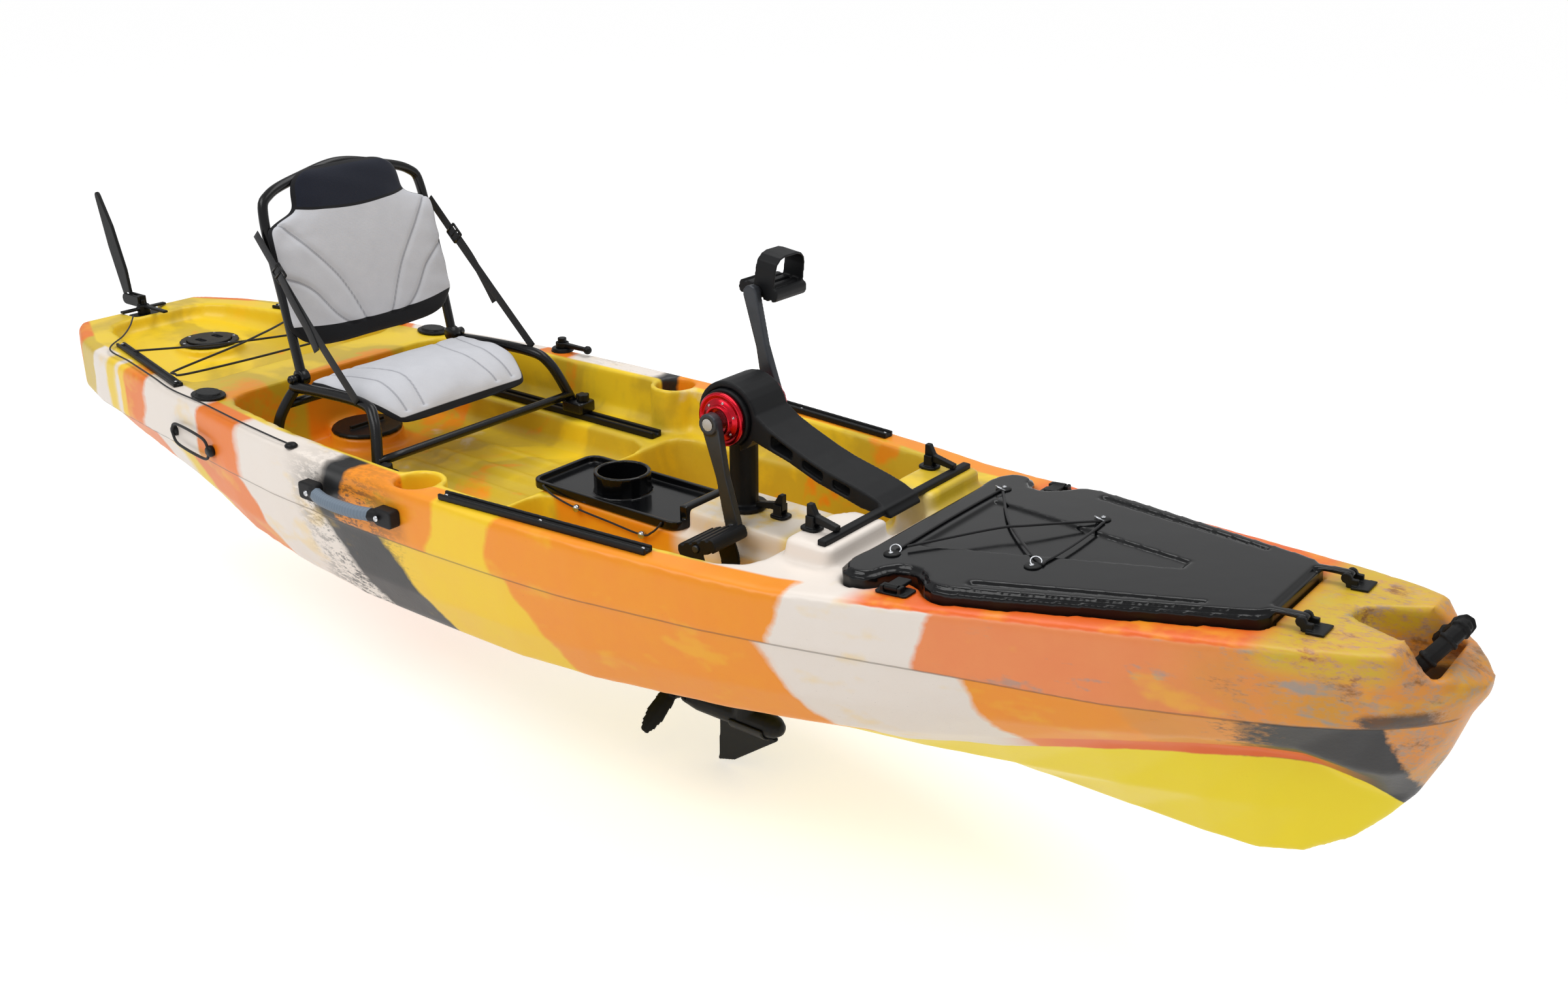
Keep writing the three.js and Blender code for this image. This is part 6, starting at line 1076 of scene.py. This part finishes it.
def seat_frame():
    """Bent side tubes from the rear feet over the rails to the front clamps, with a front and a rear bar."""
    shells = []
    for way in (-1, 1):
        path = curve(np.array([(-674, 268 * way, 281), (-674, 253 * way, 329), (-664, 222 * way, 377),
                               (-642, 222 * way, 388), (-452, 222 * way, 396), (-398, 236 * way, 372),
                               (-364, 264 * way, 290)]) * MM, 90)
        shells.append(solid_tube(path, 0.011, 20, up=(0, 1, 0)))
        for x0, x1 in ((-696, -652), (-380, -320)):
            centre, long = (x0 + x1) / 2, x1 - x0
            rise = np.array([0, 0.0015, 0.004, 0.019, 0.0225, 0.024])
            grow = np.array([0.94, 0.985, 1, 1, 0.97, 0.88])
            outline = rounded(long * MM, 0.048, 0.009, 5)
            layers = [np.column_stack([outline * g + (centre * MM, 0.268 * way), np.full(len(outline), 0.2696 + z)])
                      for z, g in zip(rise, grow)]
            shells.append(closed(np.stack(layers)))
        shells.append(closed(swept([(-0.662, 0.2103 * way, 0.402), (-0.662, 0.228 * way, 0.402)], ring(0.009, 20),
                                   up=(0, 0, 1))))
        shells.append(bolt((-0.662, 0.228 * way, 0.402), (0, way, 0), 0.0075, 0.004))
    shells.append(solid_tube([(-0.366, y, 0.304) for y in np.linspace(-0.262, 0.262, 9)], 0.009, 18))
    shells.append(solid_tube([(-0.674, y, 0.350) for y in np.linspace(-0.233, 0.233, 9)], 0.009, 18))
    made("seat_frame_tubes", merge(shells), TUBE, "seat", "seat_tube", "seat_base_frame")


def seat_hoop():
    """The back's hoop of bent tube with its ears."""
    side = [(0, -200, 0), (0, -200, 160), (0, -200, 320), (0, -175, 364.5), (0, -88, 390), (0, 0, 404)]
    path = curve(side + [(a, -b, c) for a, b, c in side[-2::-1]], 160)
    shells = [solid_tube(on_back(path), 0.010, 20, up=(1, 0, 0))]
    for way in (-1, 1):
        shells.append(turned([(0.015, 0), (0.017, 0.002), (0.017, 0.018), (0.015, 0.020)],
                             on_back([(0, way * 190, 0)])[0], (0, way, 0), 32))
    made("seat_hoop_tube", merge(shells), TUBE, "seat_back", "seat_tube", "seat_back_frame")


seat_frame()
seat_hoop()


def seat_strap(side, way):
    """A flat web from the hoop to the side tube, its ladder buckle and a loose tail beside it."""
    top, foot = np.array([-0.727, way * 0.2215, 0.690]), np.array([-0.446, way * 0.2345, 0.402])
    share = np.linspace(0, 1, 60)[:, None]
    path = top + (foot - top) * share + np.array([0, way * 0.0015, -0.004]) * np.sin(math.pi * share)
    run = unit(foot - top)
    section = rounded(0.0016, 0.021, 0.0007, 2)
    buckle = top + (foot - top) * 0.24
    tail = curve([buckle + run * far + (0, way * out, drop) for far, out, drop in
                  ((0.005, 0.003, 0), (0.06, 0.006, -0.006), (0.115, 0.004, -0.016), (0.15, 0.005, -0.03))], 24)
    upright = np.cross(run, (0, way, 0)) * way
    shells, maps = zip(*(strand(route, section * (1, wide), section[:, 1], upright)
                         for route, wide in ((path, 1.0), (tail, 0.95))))
    across_fold = ("seat_back", "seat", tuple(top), tuple(foot))
    mapped(f"strap_web_{side}", merge(shells), np.concatenate(maps), WEB, across_fold, "black_webbing",
           f"seat_strap_{side}")
    wide = unit(np.cross(run, (0, way, 0)))
    frame_path = [buckle + run * a * 0.015 + wide * b * 0.0145 + (0, way * 0.001, 0)
                  for a, b in ((-1, -1), (-1, 1), (1, 1), (1, -1))]
    bars = [solid_tube([frame_path[k], frame_path[(k + 1) % 4]], 0.0028, 12, up=(0, way, 0)) for k in range(4)]
    bars.append(solid_tube([buckle + wide * b * 0.0145 + (0, way * 0.0022, 0) for b in (-1, 1)], 0.0026, 12,
                           up=(0, way, 0)))
    made(f"strap_buckle_{side}", merge(bars), SATIN, across_fold, "black_webbing")


seat_strap("starboard", -1)
seat_strap("port", 1)


# Drive hubs
def hub(side, way):
    """A red anodised cover: bevelled disc, turned groove, stepped boss and a ring of small bolts."""
    low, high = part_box(f"hub_cover_{side}")
    inner, outer = (high.y, low.y) if way < 0 else (low.y, high.y)
    deep = abs(outer - inner)
    centre = (0.324, inner, 0.482)
    lip = deep - 0.008
    profile = [(0.0112, 0), (0.0425, 0), (0.0426, lip - 0.011), (0.0472, lip - 0.0105), (0.048, lip - 0.0095),
               (0.048, lip - 0.0016), (0.0465, lip), (0.0405, lip), (0.0398, lip - 0.0016), (0.036, lip - 0.0016),
               (0.0353, lip), (0.0282, lip), (0.0275, lip + 0.0008), (0.0268, deep - 0.0012), (0.0256, deep),
               (0.0215, deep), (0.0208, deep - 0.001), (0.0112, deep - 0.001)]
    disc = np.array(profile)
    axis = np.array([0, way, 0.0])
    turn = np.arange(72) * 2 * math.pi / 72
    radial = np.stack([np.cos(turn), np.zeros(72), np.sin(turn)], -1)
    rings = np.asarray(centre) + disc[:, None, 1:] * axis + disc[:, None, :1] * radial[None]
    shell = (rings.reshape(-1, 3), grid_faces(len(disc), 72, rows_wrap=True))
    made(f"hub_disc_{side}", shell, RED, "boat", "red_anodised", f"hub_cover_{side}")
    bolts = [bolt(np.asarray(centre) + axis * (lip - 0.0004) + 0.0318 * np.array([math.cos(a), 0, math.sin(a)]), axis,
                  0.0026, 0.0016) for a in np.arange(6) * math.pi / 3 + 0.3]
    made(f"hub_bolts_{side}", merge(bolts), STEEL, "boat", "steel")


hub("starboard", -1)
hub("port", 1)


# Screws and other bright hardware
def screws():
    """Screw heads of the deck plate, the rod holders, the tracks and the tray."""
    heads = []
    low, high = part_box("tank_hatch_ring")
    middle = np.array([(low.x + high.x) / 2, 0.0, high.z - 0.0012])
    heads += [bolt(middle + (0.0585 * math.cos(a), 0.0585 * math.sin(a), 0), (0, 0, 1), 0.0036, 0.002)
              for a in np.arange(6) * math.pi / 3 + 0.26]
    rows = ((0.3565, 0.0038, 0.002, ((-0.030, 0.3812), (0.393, 0.3439), (0.18, 0.3624))),
            (0.2625, 0.0038, 0.002, ((-0.702, 0.268), (-0.15, 0.268))),
            (0.3578, 0.0032, 0.0016, ((-1.305, 0.2105), (-0.965, 0.2972))))
    for way in (-1, 1):
        heads += [bolt((x, way * y, z), (0, 0, 1), radius, height)
                  for z, radius, height, spots in rows for x, y in spots]
        heads += [bolt((x, way * y, 0.297), (0, way, 0), 0.0055, 0.003)
                  for x, y in ((-0.1615, 0.4345), (-0.3585, 0.434))]
    made("deck_screws", merge(heads), STEEL, "boat", "steel")


screws()


# The inner shafts keep their own shape
for node in ("crank_axle", "drive_shaft"):
    for place in NODES[node].material_slots:
        place.link = "OBJECT"
        place.material = STEEL.material


# Sizes
low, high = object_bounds()
